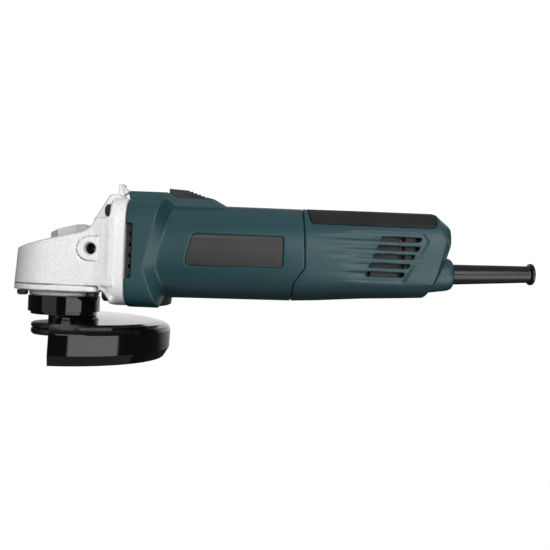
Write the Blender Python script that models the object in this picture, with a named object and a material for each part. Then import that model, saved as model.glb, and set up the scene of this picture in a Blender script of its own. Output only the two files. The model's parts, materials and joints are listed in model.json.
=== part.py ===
"""Angle grinder for 125 mm discs, built as an assembly of its real pieces.

Frame: +X runs from the gear head to the cable end, +Z is up and the origin is
the centre of the spindle's lower end face. The spindle axis is the Z axis and
the motor axis runs along +X at MOTOR_HEIGHT. Sizes below are in millimetres,
measured from a point of the motor axis that lies SPINDLE_X in front of the
spindle axis for the housing, armature, switch and lock, and from the spindle
axis for the spindle and the guard.
"""

import math

import bmesh
import bpy
from mathutils import Matrix, Vector

MM = 0.001
MOTOR_HEIGHT = 62.0  # motor axis above the spindle's end face
SPINDLE_X = 1.4  # of the spindle axis, in the housing's own coordinates

# Gear head
HEAD_HALF_WIDTH = 30.5
HEAD_BOTTOM = -22.8
FLANGE_FRONT = 36.3
FLANGE_REAR = 46.0
FLANGE_HALF_WIDTH = 33.0
HANDLE_HOLE = (25.4, -0.9)  # x, z of the M8 side handle holes
HANDLE_BOSS = (24.7, -0.9)
HANDLE_HOLE_RADIUS = 3.4

# Bevel gears
PINION_TEETH = 10
GEAR_TEETH = 31
GEAR_PITCH_RADIUS = 21.8
GEAR_FACE = 5.5
TOOTH_ADDENDUM = 1.05
TOOTH_DEDENDUM = 1.75
TOOTH_SHARE = 0.40  # of the pitch that a tooth fills

# Motor housing
HOUSING_FRONT = 46.3
TUBE_RADIUS = 29.4
TUBE_CENTRE = 0.55
BORE_RADIUS = 26.6
FAN_BORE_RADIUS = 28.5

# Guard
GUARD_RADIUS = 67.0
GUARD_START = -77.2  # degrees about Z, of the near cut edge
GUARD_SWEEP = 180.0
GUARD_LEAN = 1.8  # degrees that the pressing droops towards the rear
NECK_RADIUS = 18.6

# Switch slider and spindle lock
SLIDE_TRAVEL = 8.0
LOCK_TRAVEL = 2.8
LOCK_PIN = (3.5, 9.8)  # from the spindle axis
BUTTON_CENTRE = (5.3, 0.0)

GAP = 0.3


# ---------------------------------------------------------------- mesh tools


def clear_scene():
    for item in list(bpy.data.objects):
        bpy.data.objects.remove(item, do_unlink=True)


def make_material(name, colour, roughness, metallic=0.0):
    material = bpy.data.materials.new(name)
    material.use_nodes = True
    shader = material.node_tree.nodes["Principled BSDF"]
    shader.inputs["Base Color"].default_value = (*colour, 1.0)
    shader.inputs["Roughness"].default_value = roughness
    shader.inputs["Metallic"].default_value = metallic
    material.diffuse_color = (*colour, 1.0)
    return material


def circle(radius, count, centre=(0.0, 0.0), phase=0.0):
    """Points of a regular polygon whose corners lie on the circle."""
    points = []
    for i in range(count):
        angle = 2 * math.pi * (i + phase) / count
        x = centre[0] + radius * math.cos(angle)
        y = centre[1] + radius * math.sin(angle)
        points.append((x, y))
    return points


def place(axis, u, v, along):
    """A point at (u, v) of the plane across the axis, at a distance along it."""
    if axis == "X":
        return Vector((along, u, v))
    if axis == "Y":
        return Vector((u, along, v))
    return Vector((u, v, along))


def loft(rings, loop=False):
    """A closed solid through rings of points: capped, or joined end to end."""
    mesh = bmesh.new()
    rows = [[mesh.verts.new(p) for p in ring] for ring in rings]
    count = len(rows[0])
    pairs = list(zip(rows, rows[1:]))
    if loop:
        pairs.append((rows[-1], rows[0]))
    else:
        mesh.faces.new(rows[0][::-1])
        mesh.faces.new(rows[-1])
    for low, high in pairs:
        for i in range(count):
            j = (i + 1) % count
            mesh.faces.new((low[i], low[j], high[j], high[i]))
    bmesh.ops.recalc_face_normals(mesh, faces=mesh.faces)
    return mesh


def prism(outline, axis, low, high):
    """An outline in the plane across the axis, from low to high along it."""
    return loft([[place(axis, u, v, a) for u, v in outline] for a in (low, high)])


def box(x, y, z):
    outline = [(x[0], y[0]), (x[1], y[0]), (x[1], y[1]), (x[0], y[1])]
    return prism(outline, "Z", z[0], z[1])


def turned(profile, count, axis, loop=False, centre=(0.0, 0.0), phase=0.0):
    """A turned solid from (radius, along) points: capped ends, or a ring."""
    rings = []
    for radius, along in profile:
        points = circle(radius, count, centre, phase)
        rings.append([place(axis, u, v, along) for u, v in points])
    return loft(rings, loop)


def collect(*meshes):
    """Several shapes that don't touch, as one mesh."""
    total = bmesh.new()
    for mesh in meshes:
        copy = bpy.data.meshes.new("shape")
        mesh.to_mesh(copy)
        total.from_mesh(copy)
        bpy.data.meshes.remove(copy)
        mesh.free()
    return total


def moved(mesh, matrix):
    bmesh.ops.transform(mesh, matrix=matrix, verts=mesh.verts)
    return mesh


def add(name, mesh, material, parent, angle=35.0):
    """Put a mesh, modelled in millimetres, into the scene under its parent."""
    bmesh.ops.scale(mesh, vec=(MM, MM, MM), verts=mesh.verts)
    data = bpy.data.meshes.new(name)
    mesh.to_mesh(data)
    mesh.free()
    data.shade_smooth()
    data.set_sharp_from_angle(angle=math.radians(angle))
    if material:
        data.materials.append(material)
    item = bpy.data.objects.new(name, data)
    bpy.context.collection.objects.link(item)
    item.parent = parent
    return item


def shape(item, operation, *meshes):
    """Join helper shapes to an object, or cut them from it."""
    for mesh in meshes:
        number = len(item.modifiers) + 1
        helper = add(f"{item.name}_tool{number}", mesh, None, item.parent)
        helper.hide_render = True
        helper.hide_set(True)
        helper.display_type = "WIRE"
        modifier = item.modifiers.new(f"{operation.lower()}_{number}", "BOOLEAN")
        modifier.object = helper
        modifier.operation = operation
        modifier.solver = "EXACT"


def empty(name, location_mm=(0.0, 0.0, 0.0)):
    item = bpy.data.objects.new(name, None)
    bpy.context.collection.objects.link(item)
    item.location = [value * MM for value in location_mm]
    return item


def along_points(points, value):
    """Piecewise linear interpolation through (key, result) pairs."""
    pairs = sorted(points)
    if value <= pairs[0][0]:
        return pairs[0][1]
    for (k0, r0), (k1, r1) in zip(pairs, pairs[1:]):
        if value <= k1:
            return r0 + (r1 - r0) * (value - k0) / (k1 - k0)
    return pairs[-1][1]


# ---------------------------------------------------------- housing sections

SECTION_POINTS = 32
# Sections of the housings: half width, top, bottom, squareness
BLOCK = (33.0, 31.4, -35.0, 6.0)
FLANGE = (33.0, 31.0, -34.2, 6.0)
TUBE = (29.4, 29.95, -28.85, 2.15)
TUBE_END = (29.4, 30.0, -27.6, 2.15)
REAR_START = (29.2, 30.2, -27.2, 2.2)
REAR_MIDDLE = (27.8, 30.2, -24.0, 2.5)
REAR_BEVEL = (26.5, 30.0, -22.3, 2.9)
REAR_END = (18.0, 24.0, -17.0, 2.9)

# Edges that run round the housing, as (z, x) points
CHEVRON_FRONT = [(-35.0, 65.5), (-10.5, 56.3), (31.0, 66.3)]
CHEVRON_REAR = [(-28.3, 69.1), (-10.7, 63.2), (25.8, 71.1)]
SEAM = [(-27.2, 144.0), (-17.0, 144.8), (-6.9, 151.3), (9.2, 150.6), (29.4, 149.4)]
TAIL_BEVEL = [
    (-22.0, 222.0),
    (-13.9, 226.6),
    (-8.8, 229.3),
    (11.9, 234.8),
    (18.4, 231.0),
    (30.0, 228.6),
]
TAIL_END = [
    (-17.0, 230.5),
    (1.6, 236.7),
    (10.4, 239.3),
    (19.4, 239.4),
    (24.0, 237.4),
]


def superellipse(t, section, offset=0.0):
    """(y, z) of a section at the angle t, moved inwards by offset."""
    half, top, bottom, power = section
    c, s = math.cos(t), math.sin(t)
    middle = (top + bottom) / 2
    height = (top - bottom) / 2 - offset
    y = (half - offset) * math.copysign(abs(c) ** (2 / power), c)
    z = middle + height * math.copysign(abs(s) ** (2 / power), s)
    return y, z


def section_ring(section, x, offset=0.0):
    """A ring round the motor axis. x is a number, or (z, x) points."""
    ring = []
    for i in range(SECTION_POINTS):
        t = 2 * math.pi * i / SECTION_POINTS
        y, z = superellipse(t, section, offset)
        at = x if isinstance(x, float) else along_points(x, z)
        ring.append((at, y, z))
    return ring


def round_ring(radius, x, centre=0.0):
    section = (radius, centre + radius, centre - radius, 2.0)
    return section_ring(section, x)


def rear_section(x):
    """The rear grip's section at a distance along the motor axis."""
    keys = [(150.0, REAR_START), (190.0, REAR_MIDDLE), (228.0, REAR_BEVEL)]
    return [along_points([(k, s[i]) for k, s in keys], x) for i in range(4)]


def patch(surface, x_range, t_range, outer, inner, steps):
    """A slab that follows a curved surface between two offsets."""
    rows = []
    for i in range(steps[0] + 1):
        row = []
        for j in range(steps[1] + 1):
            s, t = i / steps[0], j / steps[1]
            row.append((s, t))
        rows.append(row)
    mesh = bmesh.new()
    layers = []
    for offset in (outer, inner):
        layer = []
        for row in rows:
            points = [surface(s, t, x_range, t_range, offset) for s, t in row]
            layer.append([mesh.verts.new(p) for p in points])
        layers.append(layer)
    top, base = layers
    last_i, last_j = steps
    for i in range(last_i):
        for j in range(last_j):
            for layer in (top, base):
                corners = (
                    layer[i][j],
                    layer[i + 1][j],
                    layer[i + 1][j + 1],
                    layer[i][j + 1],
                )
                mesh.faces.new(corners)
    rim = [(i, 0) for i in range(last_i)]
    rim += [(last_i, j) for j in range(last_j)]
    rim += [(i, last_j) for i in range(last_i, 0, -1)]
    rim += [(0, j) for j in range(last_j, 0, -1)]
    for (a, b), (c, d) in zip(rim, rim[1:] + rim[:1]):
        mesh.faces.new((top[a][b], top[c][d], base[c][d], base[a][b]))
    bmesh.ops.recalc_face_normals(mesh, faces=mesh.faces)
    return mesh


# ------------------------------------------------------------------ gear head


def octagon(half_x, half_y, facet_x, facet_y, centre):
    x, y = centre
    return [
        (x + facet_x, y - half_y),
        (x + half_x, y - facet_y),
        (x + half_x, y + facet_y),
        (x + facet_x, y + half_y),
        (x - facet_x, y + half_y),
        (x - half_x, y + facet_y),
        (x - half_x, y - facet_y),
        (x - facet_x, y - half_y),
    ]


def head_plan(nose, rear_x, corner, steps=12):
    """The head in plan: a round nose about the spindle, then parallel sides."""
    points = []
    for i in range(steps + 1):
        angle = math.radians(90 + 180 * i / steps)
        x = SPINDLE_X + nose * math.cos(angle)
        points.append((x, HEAD_HALF_WIDTH * math.sin(angle)))
    for side, start in ((-1, 270), (1, 0)):
        y = side * (HEAD_HALF_WIDTH - corner)
        for i in range(4):
            angle = math.radians(start + 30 * i)
            x = rear_x - corner + corner * math.cos(angle)
            points.append((x, y + corner * math.sin(angle)))
    return points


HEAD_SIDE = [
    (-33.0, HEAD_BOTTOM),
    (-33.0, -2.6),
    (-24.5, -1.3),
    (-17.9, -0.2),
    (-8.6, 2.1),
    (-0.7, 4.1),
    (16.9, 8.4),
    (20.7, 9.3),
    (23.2, 10.8),
    (25.6, 13.3),
    (28.0, 16.2),
    (29.8, 17.6),
    (38.4, 18.0),
    (38.4, -33.0),
    (37.8, -32.6),
    (36.9, -30.7),
    (34.4, -26.8),
    (31.0, -24.1),
    (31.0, HEAD_BOTTOM),
]
RIDGE_SIDE = [
    (19.0, 8.0),
    (20.8, 14.5),
    (23.2, 19.2),
    (31.0, 33.0),
    (32.8, 33.6),
    (38.0, 33.6),
    (38.0, 8.0),
]
TAB_SIDE = [(33.9, 28.0), (34.7, 41.3), (38.3, 41.3), (38.6, 28.0)]
SCREW_ROWS = [(y, z) for z in (22.2, -27.6) for y in (-24.0, 24.0)]
RETAINER_SCREWS = [(-18.1, -17.6), (-18.1, 17.6), (25.4, -24.0), (25.4, 24.0)]


def boss_pad(side):
    """The raised pad round a side handle hole, open towards the rear."""
    x, z = HANDLE_BOSS
    points = [(34.0, z + 7.0), (34.0, z - 7.0)]
    for i in range(9):
        angle = math.radians(270 - 180 * i / 8)
        points.append((x + 7.0 * math.cos(angle), z + 7.0 * math.sin(angle)))
    low, high = sorted((side * 28.0, side * (HEAD_HALF_WIDTH + 0.7)))
    return prism(points, "Y", low, high)


def gear_case(parent, metal):
    side = prism(HEAD_SIDE, "Y", -40.0, 40.0)
    case = add("gear_case", side, metal, parent)
    rings = []
    for z, nose in ((-60.0, 32.3), (60.0, 23.6)):
        rings.append([(x, y, z) for x, y in head_plan(nose, 60.0, 3.0)])
    plan = loft(rings)
    bmesh.ops.triangulate(plan, faces=[f for f in plan.faces if len(f.verts) == 4])
    shape(case, "INTERSECT", plan)
    flange = loft([section_ring(FLANGE, x) for x in (FLANGE_FRONT, FLANGE_REAR)])
    ridge = prism(RIDGE_SIDE, "Y", -14.0, 14.0)
    tab = prism(TAB_SIDE, "Y", -4.0, 4.0)
    shape(case, "UNION", flange, ridge, tab, collect(boss_pad(-1), boss_pad(1)))
    spindle = (SPINDLE_X, 0.0)
    chamber = [(22.7, -30.0), (22.7, -5.6), (19.5, -3.0)]
    chamber = turned(chamber, 32, "Z", centre=spindle)
    bush = turned([(7.3, -10.0), (7.3, -0.8)], 20, "Z", centre=spindle)
    passage = turned([(7.3, 17.3), (9.6, 27.0), (9.6, 28.0)], 20, "X")
    bearing = turned([(14.4, 27.2), (14.4, 37.0)], 24, "X")
    rear = turned([(24.0, 36.5), (24.0, 60.0)], 24, "X")
    shape(case, "DIFFERENCE", chamber, bush, passage, bearing, rear)
    recess = prism(octagon(11.5, 12.5, 5.9, 5.2, BUTTON_CENTRE), "Z", 1.0, 40.0)
    shape(case, "DIFFERENCE", recess)
    at = (SPINDLE_X + LOCK_PIN[0], LOCK_PIN[1])
    pin = turned([(1.9, -6.0), (1.9, 3.0)], 12, "Z", centre=at)
    x, z = HANDLE_HOLE
    holes = []
    for side in (-1, 1):
        low, high = sorted((side * 20.5, side * 40.0))
        bore = [(HANDLE_HOLE_RADIUS, low), (HANDLE_HOLE_RADIUS, high)]
        holes.append(turned(bore, 16, "Y", centre=(x, z)))
    for at in RETAINER_SCREWS:
        holes.append(turned([(2.2, -30.0), (2.2, -15.0)], 10, "Z", centre=at))
    for at in SCREW_ROWS:
        stepped = [(4.6, 29.0), (4.6, 36.0), (2.4, 36.0), (2.4, 50.0)]
        if at[1] > 0:
            stepped = stepped[2:]
        holes.append(turned(stepped, 12, "X", centre=at))
    shape(case, "DIFFERENCE", collect(pin, *holes))
    return case


def bearing_retainer(parent, metal):
    plan = head_plan(29.6, 30.5, 7.0)
    low = HEAD_BOTTOM - GAP
    part = add("bearing_retainer", prism(plan, "Z", -26.5, low), metal, parent)
    neck = [(NECK_RADIUS, -41.5), (NECK_RADIUS, -30.0), (21.0, -30.0), (21.0, -25.0)]
    spindle = (SPINDLE_X, 0.0)
    shape(part, "UNION", turned(neck, 32, "Z", centre=spindle))
    bore = [(11.0, -50.0), (11.0, -37.3), (16.2, -37.3), (16.2, -20.0)]
    bore = turned(bore, 32, "Z", centre=spindle)
    holes = [turned([(2.4, -30.0), (2.4, -20.0)], 10, "Z", centre=at) for at in RETAINER_SCREWS]
    shape(part, "DIFFERENCE", collect(bore, *holes))
    return part


def pan_screw(name, parent, material, at, turn, head=(3.6, 3.0), shank=(1.8, 10.0)):
    """A recessed pan head screw. Its head points along local +Z from 0."""
    head_radius, head_height = head
    shank_radius, length = shank
    profile = [
        (shank_radius, -length),
        (shank_radius, 0.0),
        (head_radius, 0.0),
        (head_radius, head_height * 0.7),
        (head_radius * 0.75, head_height),
    ]
    screw = add(name, turned(profile, 12, "Z"), material, parent)
    screw.location = [value * MM for value in at]
    screw.rotation_euler = turn
    bar = box((-1.9, 1.9), (-0.55, 0.55), (head_height - 1.4, head_height + 1))
    socket = add(f"{name}_tool1", bar, None, parent)
    socket.location = screw.location
    socket.rotation_euler = turn
    socket.hide_render = True
    socket.hide_set(True)
    socket.display_type = "WIRE"
    slot = screw.modifiers.new("slot", "BOOLEAN")
    slot.object = socket
    slot.operation = "DIFFERENCE"
    slot.solver = "EXACT"
    return screw


def head_screws(parent, steel):
    down = (math.pi, 0.0, 0.0)
    forward = (0.0, -math.pi / 2, 0.0)
    for number, (x, y) in enumerate(RETAINER_SCREWS, 1):
        at = (x, y, -26.8)
        name = f"retainer_screw_{number}"
        pan_screw(name, parent, steel, at, down, (3.2, 3.0))
    for number, (y, z) in enumerate(SCREW_ROWS, 1):
        at = (FLANGE_FRONT - 0.55, y, z)
        name = f"flange_screw_{number}"
        pan_screw(name, parent, steel, at, forward, (3.95, 3.5), (2.0, 24.0))


def ball_bearing(name, parent, material, axis, inner, outer, low, high, centre=(0.0, 0.0)):
    """A bearing with its shield set back between the two races."""
    race = (outer - inner) * 0.22
    profile = [
        (inner, low),
        (inner + race, low),
        (inner + race, low + 0.7),
        (outer - race, low + 0.7),
        (outer - race, low),
        (outer, low),
        (outer, high),
        (inner, high),
    ]
    ring = turned(profile, 20, axis, loop=True, centre=centre)
    return add(name, ring, material, parent)


# ---------------------------------------------------------------- bevel gears


def cone_angle(teeth, other):
    return math.atan2(teeth, other)


def toothed_ring(teeth, other, distance, phase):
    """One end of a straight bevel gear's teeth: (radius, along, angle)."""
    delta = cone_angle(teeth, other)
    outer = GEAR_PITCH_RADIUS / math.sin(cone_angle(GEAR_TEETH, PINION_TEETH))
    scale = distance / outer
    pitch_radius = distance * math.sin(delta)
    half = math.pi / teeth * TOOTH_SHARE * pitch_radius
    lean = math.tan(math.radians(22.0))
    up, down = TOOTH_ADDENDUM * scale, TOOTH_DEDENDUM * scale
    tip = pitch_radius + up * math.cos(delta)
    root = pitch_radius - down * math.cos(delta)
    tip_along = distance * math.cos(delta) - up * math.sin(delta)
    root_along = distance * math.cos(delta) + down * math.sin(delta)
    tip_half = (half - up * lean) / tip
    root_half = (half + down * lean) / root
    points = []
    for k in range(teeth):
        angle = 2 * math.pi * (k + phase) / teeth
        points.append((root, root_along, angle - root_half))
        points.append((tip, tip_along, angle - tip_half))
        points.append((tip, tip_along, angle + tip_half))
        points.append((root, root_along, angle + root_half))
    return points


def bevel_ring(teeth, other, phase, closing):
    """Rings of (radius, along, angle): the teeth, then circles behind them."""
    outer = GEAR_PITCH_RADIUS / math.sin(cone_angle(GEAR_TEETH, PINION_TEETH))
    rings = [toothed_ring(teeth, other, d, phase) for d in (outer, outer - GEAR_FACE)]
    angles = [angle for _, _, angle in rings[0]]
    for radius, along in closing:
        rings.append([(radius, along, angle) for angle in angles])
    return rings


def pinion(parent, steel):
    closing = [(4.2, 16.8), (4.2, 25.0), (5.9, 25.0)]
    rings = bevel_ring(PINION_TEETH, GEAR_TEETH, 0.0, closing)
    solid = []
    for ring in rings:
        solid.append([(SPINDLE_X + h, r * math.cos(a), r * math.sin(a)) for r, h, a in ring])
    return add("pinion", loft(solid, loop=True), steel, parent, 25)


def spindle_gear(parent, steel):
    rings = bevel_ring(GEAR_TEETH, PINION_TEETH, 0.0, [(13.0, 7.4), (13.0, 13.6), (20.9, 13.6)])
    solid = []
    for ring in rings:
        solid.append([(r * math.cos(a), r * math.sin(a), -h) for r, h, a in ring])
    gear = add("spindle_gear", loft(solid, loop=True), steel, parent, 25)
    hub = [(6.4, -17.0), (13.6, -17.0), (13.6, -10.6), (7.6, -10.6), (7.6, -6.3), (6.4, -6.3)]
    shape(gear, "UNION", turned(hub, 20, "Z", loop=True))
    lugs = []
    pin_angle = math.atan2(LOCK_PIN[1], LOCK_PIN[0])
    for k in range(3):
        angle = pin_angle + math.radians(16.5 + 120 * k)
        lug = box((7.4, 13.3), (-0.8, 0.8), (-11.0, -7.0))
        lugs.append(moved(lug, Matrix.Rotation(angle, 4, "Z")))
    shape(gear, "UNION", collect(*lugs))
    return gear


# -------------------------------------------------------------------- spindle


def spindle_parts(parent, steel, black):
    profile = [
        (5.2, -62.0),
        (6.9, -60.6),
        (6.9, -46.4),
        (9.0, -46.4),
        (9.0, -37.5),
        (6.0, -37.5),
        (6.0, -5.9),
        (4.4, -5.9),
        (4.4, -1.2),
    ]
    add("spindle", turned(profile, 24, "Z"), steel, parent)
    spindle_gear(parent, steel)
    spacer = [(6.4, -26.6), (9.0, -26.6), (9.0, -17.3), (6.4, -17.3)]
    add("gear_spacer", turned(spacer, 20, "Z", loop=True), steel, parent)
    flange = [
        (7.3, -49.9),
        (18.6, -49.9),
        (19.3, -49.2),
        (19.3, -47.6),
        (18.4, -46.8),
        (7.3, -46.8),
    ]
    add("inner_flange", turned(flange, 32, "Z", loop=True), black, parent)
    nut = [
        (7.3, -54.2),
        (18.2, -54.2),
        (19.3, -53.0),
        (19.3, -50.9),
        (18.6, -50.2),
        (7.3, -50.2),
    ]
    clamp = add("clamp_nut", turned(nut, 32, "Z", loop=True), black, parent)
    holes = []
    for x in (-15.0, 15.0):
        holes.append(turned([(2.3, -60.0), (2.3, -51.8)], 10, "Z", centre=(x, 0)))
    shape(clamp, "DIFFERENCE", collect(*holes))


# -------------------------------------------------------------- motor housing


def badge_surface(side):
    """The label's field on the side of the motor tube."""

    def point(s, t, x_range, z_range, offset):
        z = z_range[0] + (z_range[1] - z_range[0]) * t
        start = x_range[0] + (z - z_range[0]) * 0.26
        x = start + (x_range[1] - start) * s
        rise = (z - TUBE_CENTRE) / TUBE_RADIUS
        reach = (TUBE_RADIUS - offset) * math.cos(math.asin(rise))
        return (x, side * reach, TUBE_CENTRE + (TUBE_RADIUS - offset) * rise)

    return point


def switch_hump():
    """The raised rail and hump that carry the slide switch."""
    stations = [
        (HOUSING_FRONT + 0.2, 36.1, 30.0),
        (64.2, 36.1, 30.0),
        (66.5, 36.1, 28.2),
        (71.5, 33.2, 28.2),
        (95.4, 33.2, 28.2),
        (102.6, 29.4, 28.2),
    ]
    half = 12.8
    rings = []
    for x, top, radius in stations:
        ring = [(x, half, top), (x, -half, top)]
        for i in range(7):
            y = -half + 2 * half * i / 6
            ring.append((x, y, math.sqrt(radius**2 - y**2)))
        rings.append(ring)
    return loft(rings)


def motor_housing(parent, green):
    front = HOUSING_FRONT
    rings = [
        section_ring(BLOCK, front),
        section_ring(BLOCK, CHEVRON_FRONT),
        section_ring(TUBE, CHEVRON_REAR),
        section_ring(TUBE_END, SEAM),
        round_ring(BORE_RADIUS, SEAM, 0.4),
        round_ring(BORE_RADIUS, 64.0, 0.4),
        round_ring(FAN_BORE_RADIUS, 63.0),
        round_ring(FAN_BORE_RADIUS, front),
    ]
    housing = add("motor_housing", loft(rings, loop=True), green, parent)
    shape(housing, "UNION", switch_hump(), box((42.9, 48.0), (-12.6, 12.6), (31.5, 35.9)))
    channel = box((57.5, 95.5), (-8.5, 8.5), (30.6, 50.0))
    slot = box((73.0, 91.0), (-3.2, 3.2), (20.0, 31.0))
    shape(housing, "DIFFERENCE", channel, slot)
    outlets = []
    for side in (-1, 1):
        low, high = sorted((side * 26.0, side * 40.0))
        outline = [(40.0, -17.2), (49.0, -17.2), (50.2, -16.0), (50.2, 13.8), (49.0, 15.0), (40.0, 15.0)]
        outlets.append(prism(outline, "Y", low, high))
    for at in SCREW_ROWS:
        outlets.append(turned([(2.3, 40.0), (2.3, 60.0)], 10, "X", centre=at))
    for side in (-1, 1):
        field = badge_surface(side)
        outlets.append(patch(field, (81.6, 138.9), (-7.9, 10.7), -2.0, 1.6, (1, 6)))
    shape(housing, "DIFFERENCE", collect(*outlets))
    return housing


def badges(parent, dark):
    for side, name in ((-1, "badge_left"), (1, "badge_right")):
        field = badge_surface(side)
        mesh = patch(field, (82.0, 138.6), (-7.6, 10.4), 0.5, 1.3, (2, 6))
        add(name, mesh, dark, parent)


def stator_outline(core_radius, bore, slot_radius):
    """Half outlines of a two pole lamination, as a ring of point pairs."""
    outer, inner = [], []
    marks = [-35, -17, 0, 17, 35]
    gaps = [(mark, slot_radius) for mark in marks]
    poles = [(angle, bore) for angle in range(35, 146, 22)]
    sequence = gaps[:] + poles[:]
    full = sequence + [(angle + 180, radius) for angle, radius in sequence]
    for angle, radius in full:
        a = math.radians(angle)
        outer.append((core_radius * math.cos(a), core_radius * math.sin(a)))
        inner.append((radius * math.cos(a), radius * math.sin(a)))
    return outer, inner


def stator(parent, steel, copper):
    outer, inner = stator_outline(26.1, 15.7, 21.6)
    rings = []
    for outline, along in ((outer, 84.0), (outer, 124.0), (inner, 124.0), (inner, 84.0)):
        rings.append([(along, y, z) for y, z in outline])
    core = add("stator_core", loft(rings, loop=True), steel, parent)
    shape(core, "DIFFERENCE", box((80, 130), (-5.0, 5.0), (24.3, 30.0)))
    for sign, name in ((1, "field_coil_upper"), (-1, "field_coil_lower")):
        add(name, field_coil(sign), copper, parent, 50)


def coil_loop(low, high, front, rear, steps=6):
    """A rectangle in angle and x, with points along its curved sides."""
    points = []
    for i in range(steps):
        points.append((low + (high - low) * i / steps, front))
    points.append((high, front))
    points.append((high, (front + rear) / 2))
    for i in range(steps):
        points.append((high - (high - low) * i / steps, rear))
    points.append((low, rear))
    points.append((low, (front + rear) / 2))
    return points


def field_coil(sign):
    """A saddle coil: a curved frame round one pole."""
    wide = coil_loop(4.0, 176.0, 77.5, 130.5)
    tight = coil_loop(32.5, 147.5, 83.4, 124.6)
    rings = []
    for loop_points, radius in ((wide, 16.8), (wide, 20.8), (tight, 20.8), (tight, 16.8)):
        ring = []
        for angle, x in loop_points:
            a = math.radians(angle)
            ring.append((x, radius * math.cos(a), sign * radius * math.sin(a)))
        rings.append(ring)
    return loft(rings, loop=True)


def armature(parent, steel, copper, plastic):
    shaft = [
        (3.8, 17.9),
        (3.8, 26.6),
        (5.0, 26.6),
        (5.0, 154.0),
        (3.6, 154.0),
        (3.6, 166.0),
    ]
    add("armature_shaft", turned(shaft, 16, "X"), steel, parent)
    pinion(parent, steel)
    outline, bore = [], []
    slots = 12
    for k in range(slots):
        for turn, radius in ((-0.34, 15.0), (0.34, 15.0), (0.36, 11.5), (0.64, 11.5)):
            angle = 2 * math.pi * (k + turn) / slots
            outline.append((radius * math.cos(angle), radius * math.sin(angle)))
            bore.append((5.4 * math.cos(angle), 5.4 * math.sin(angle)))
    rings = []
    for points, along in ((outline, 84.0), (outline, 124.0), (bore, 124.0), (bore, 84.0)):
        rings.append([(along, y, z) for y, z in points])
    add("armature_core", loft(rings, loop=True), steel, parent, 25)
    for name, low, high in (("winding_front", 74.0, 83.7), ("winding_rear", 124.3, 134.0)):
        middle = (low + high) / 2
        profile = [
            (5.4, low),
            (10.5, low),
            (13.6, middle),
            (13.0, high) if low < 100 else (10.5, high),
            (5.4, high),
        ]
        add(name, turned(profile, 20, "X", loop=True), copper, parent, 50)
    risers = [(5.4, 137.0), (12.6, 137.0), (12.6, 139.0), (11.0, 139.0), (11.0, 151.0), (5.4, 151.0)]
    add("commutator", turned(risers, 24, "X", loop=True), copper, parent, 20)
    fan(parent, plastic)


def fan(parent, plastic):
    """A radial fan: a hub and a back plate with straight blades."""
    profile = [(5.4, 50.6), (9.0, 50.6), (9.0, 57.6), (26.0, 57.6), (26.0, 59.4), (5.4, 59.4)]
    wheel = add("cooling_fan", turned(profile, 22, "X", loop=True), plastic, parent)
    blades = []
    count = 11
    for k in range(count):
        blade = box((50.8, 58.0), (10.5, 25.2), (-0.7, 0.7))
        blades.append(moved(blade, Matrix.Rotation(2 * math.pi * k / count, 4, "X")))
    shape(wheel, "UNION", collect(*blades))


def motor_fittings(parent, materials):
    plastic, brass, carbon = materials["black_plastic"], materials["brass"], materials["carbon"]
    baffle = [(19.0, 61.0), (28.1, 61.0), (28.1, 62.7), (19.0, 62.7)]
    add("fan_baffle", turned(baffle, 24, "X", loop=True), plastic, parent)
    for side, end in ((-1, "left"), (1, "right")):
        low, high = sorted((side * 12.6, side * 25.4))
        holder = add(f"brush_holder_{end}", box((139.6, 148.4), (low, high), (-4.6, 4.6)), brass, parent)
        shape(holder, "DIFFERENCE", box((141.2, 146.8), (-40.0, 40.0), (-3.0, 3.0)))
        low, high = sorted((side * 11.4, side * 23.5))
        add(f"carbon_brush_{end}", box((141.5, 146.5), (low, high), (-2.7, 2.7)), carbon, parent)
    ring = [(19.0, 152.6), (22.6, 152.6), (22.6, 156.2), (19.0, 156.2)]
    bracket = add("bearing_bracket", turned(ring, 24, "X", loop=True), plastic, parent)
    cup = [(9.9, 154.5), (12.6, 154.5), (12.6, 168.5), (6.0, 168.5), (6.0, 166.8), (9.9, 166.8)]
    arms = [
        box((153.0, 156.0), (11.9, 19.8), (-3.0, 3.0)),
        box((153.0, 156.0), (-19.8, -11.9), (-3.0, 3.0)),
        box((153.0, 156.0), (-3.0, 3.0), (11.9, 19.8)),
        box((153.0, 156.0), (-3.0, 3.0), (-19.8, -11.9)),
    ]
    shape(bracket, "UNION", turned(cup, 24, "X", loop=True), collect(*arms))


# --------------------------------------------------------------- rear housing

BOOT_HEIGHT = -7.6  # boot axis at BOOT_PIVOT, which it rises from
BOOT_PIVOT = 237.0
BOOT_TILT = math.radians(2.3)


def tilted(mesh):
    """Turn a shape, modelled along X from the boot's pivot, to its place."""
    turn = Matrix.Rotation(-BOOT_TILT, 4, "Y")
    shift = Matrix.Translation((BOOT_PIVOT, 0.0, BOOT_HEIGHT))
    return moved(mesh, shift @ turn)


def pad_surface(side):
    """The soft grip's field over the top of the rear housing."""

    def point(s, t, x_range, z_low, offset):
        x = x_range[0] + (x_range[1] - x_range[0]) * s
        section = rear_section(x)
        middle = (section[1] + section[2]) / 2
        height = (section[1] - section[2]) / 2
        low = math.asin(((z_low - middle) / height) ** (section[3] / 2))
        angle = low + (math.pi / 2 - low) * t
        y, z = superellipse(angle, section, offset)
        lean = (30.2 - z) * 0.25 * (1 - s)
        y = max(y, GAP / 2) if t == 1.0 else y
        return (x + lean, side * y, z)

    return point


def vent_outline(number):
    """One of the five slanted air slots, counted from the top."""
    lows = [(195.7, 220.5, 10.3), (193.7, 219.5, 4.9), (191.5, 216.7, -0.1)]
    lows += [(189.7, 214.0, -5.7), (187.9, 211.1, -10.9)]
    x0, x1, z = lows[number]
    return [(x0, z), (x1 - 1.6, z), (x1, z + 3.3), (x0 + 1.2, z + 3.3)]


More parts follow.
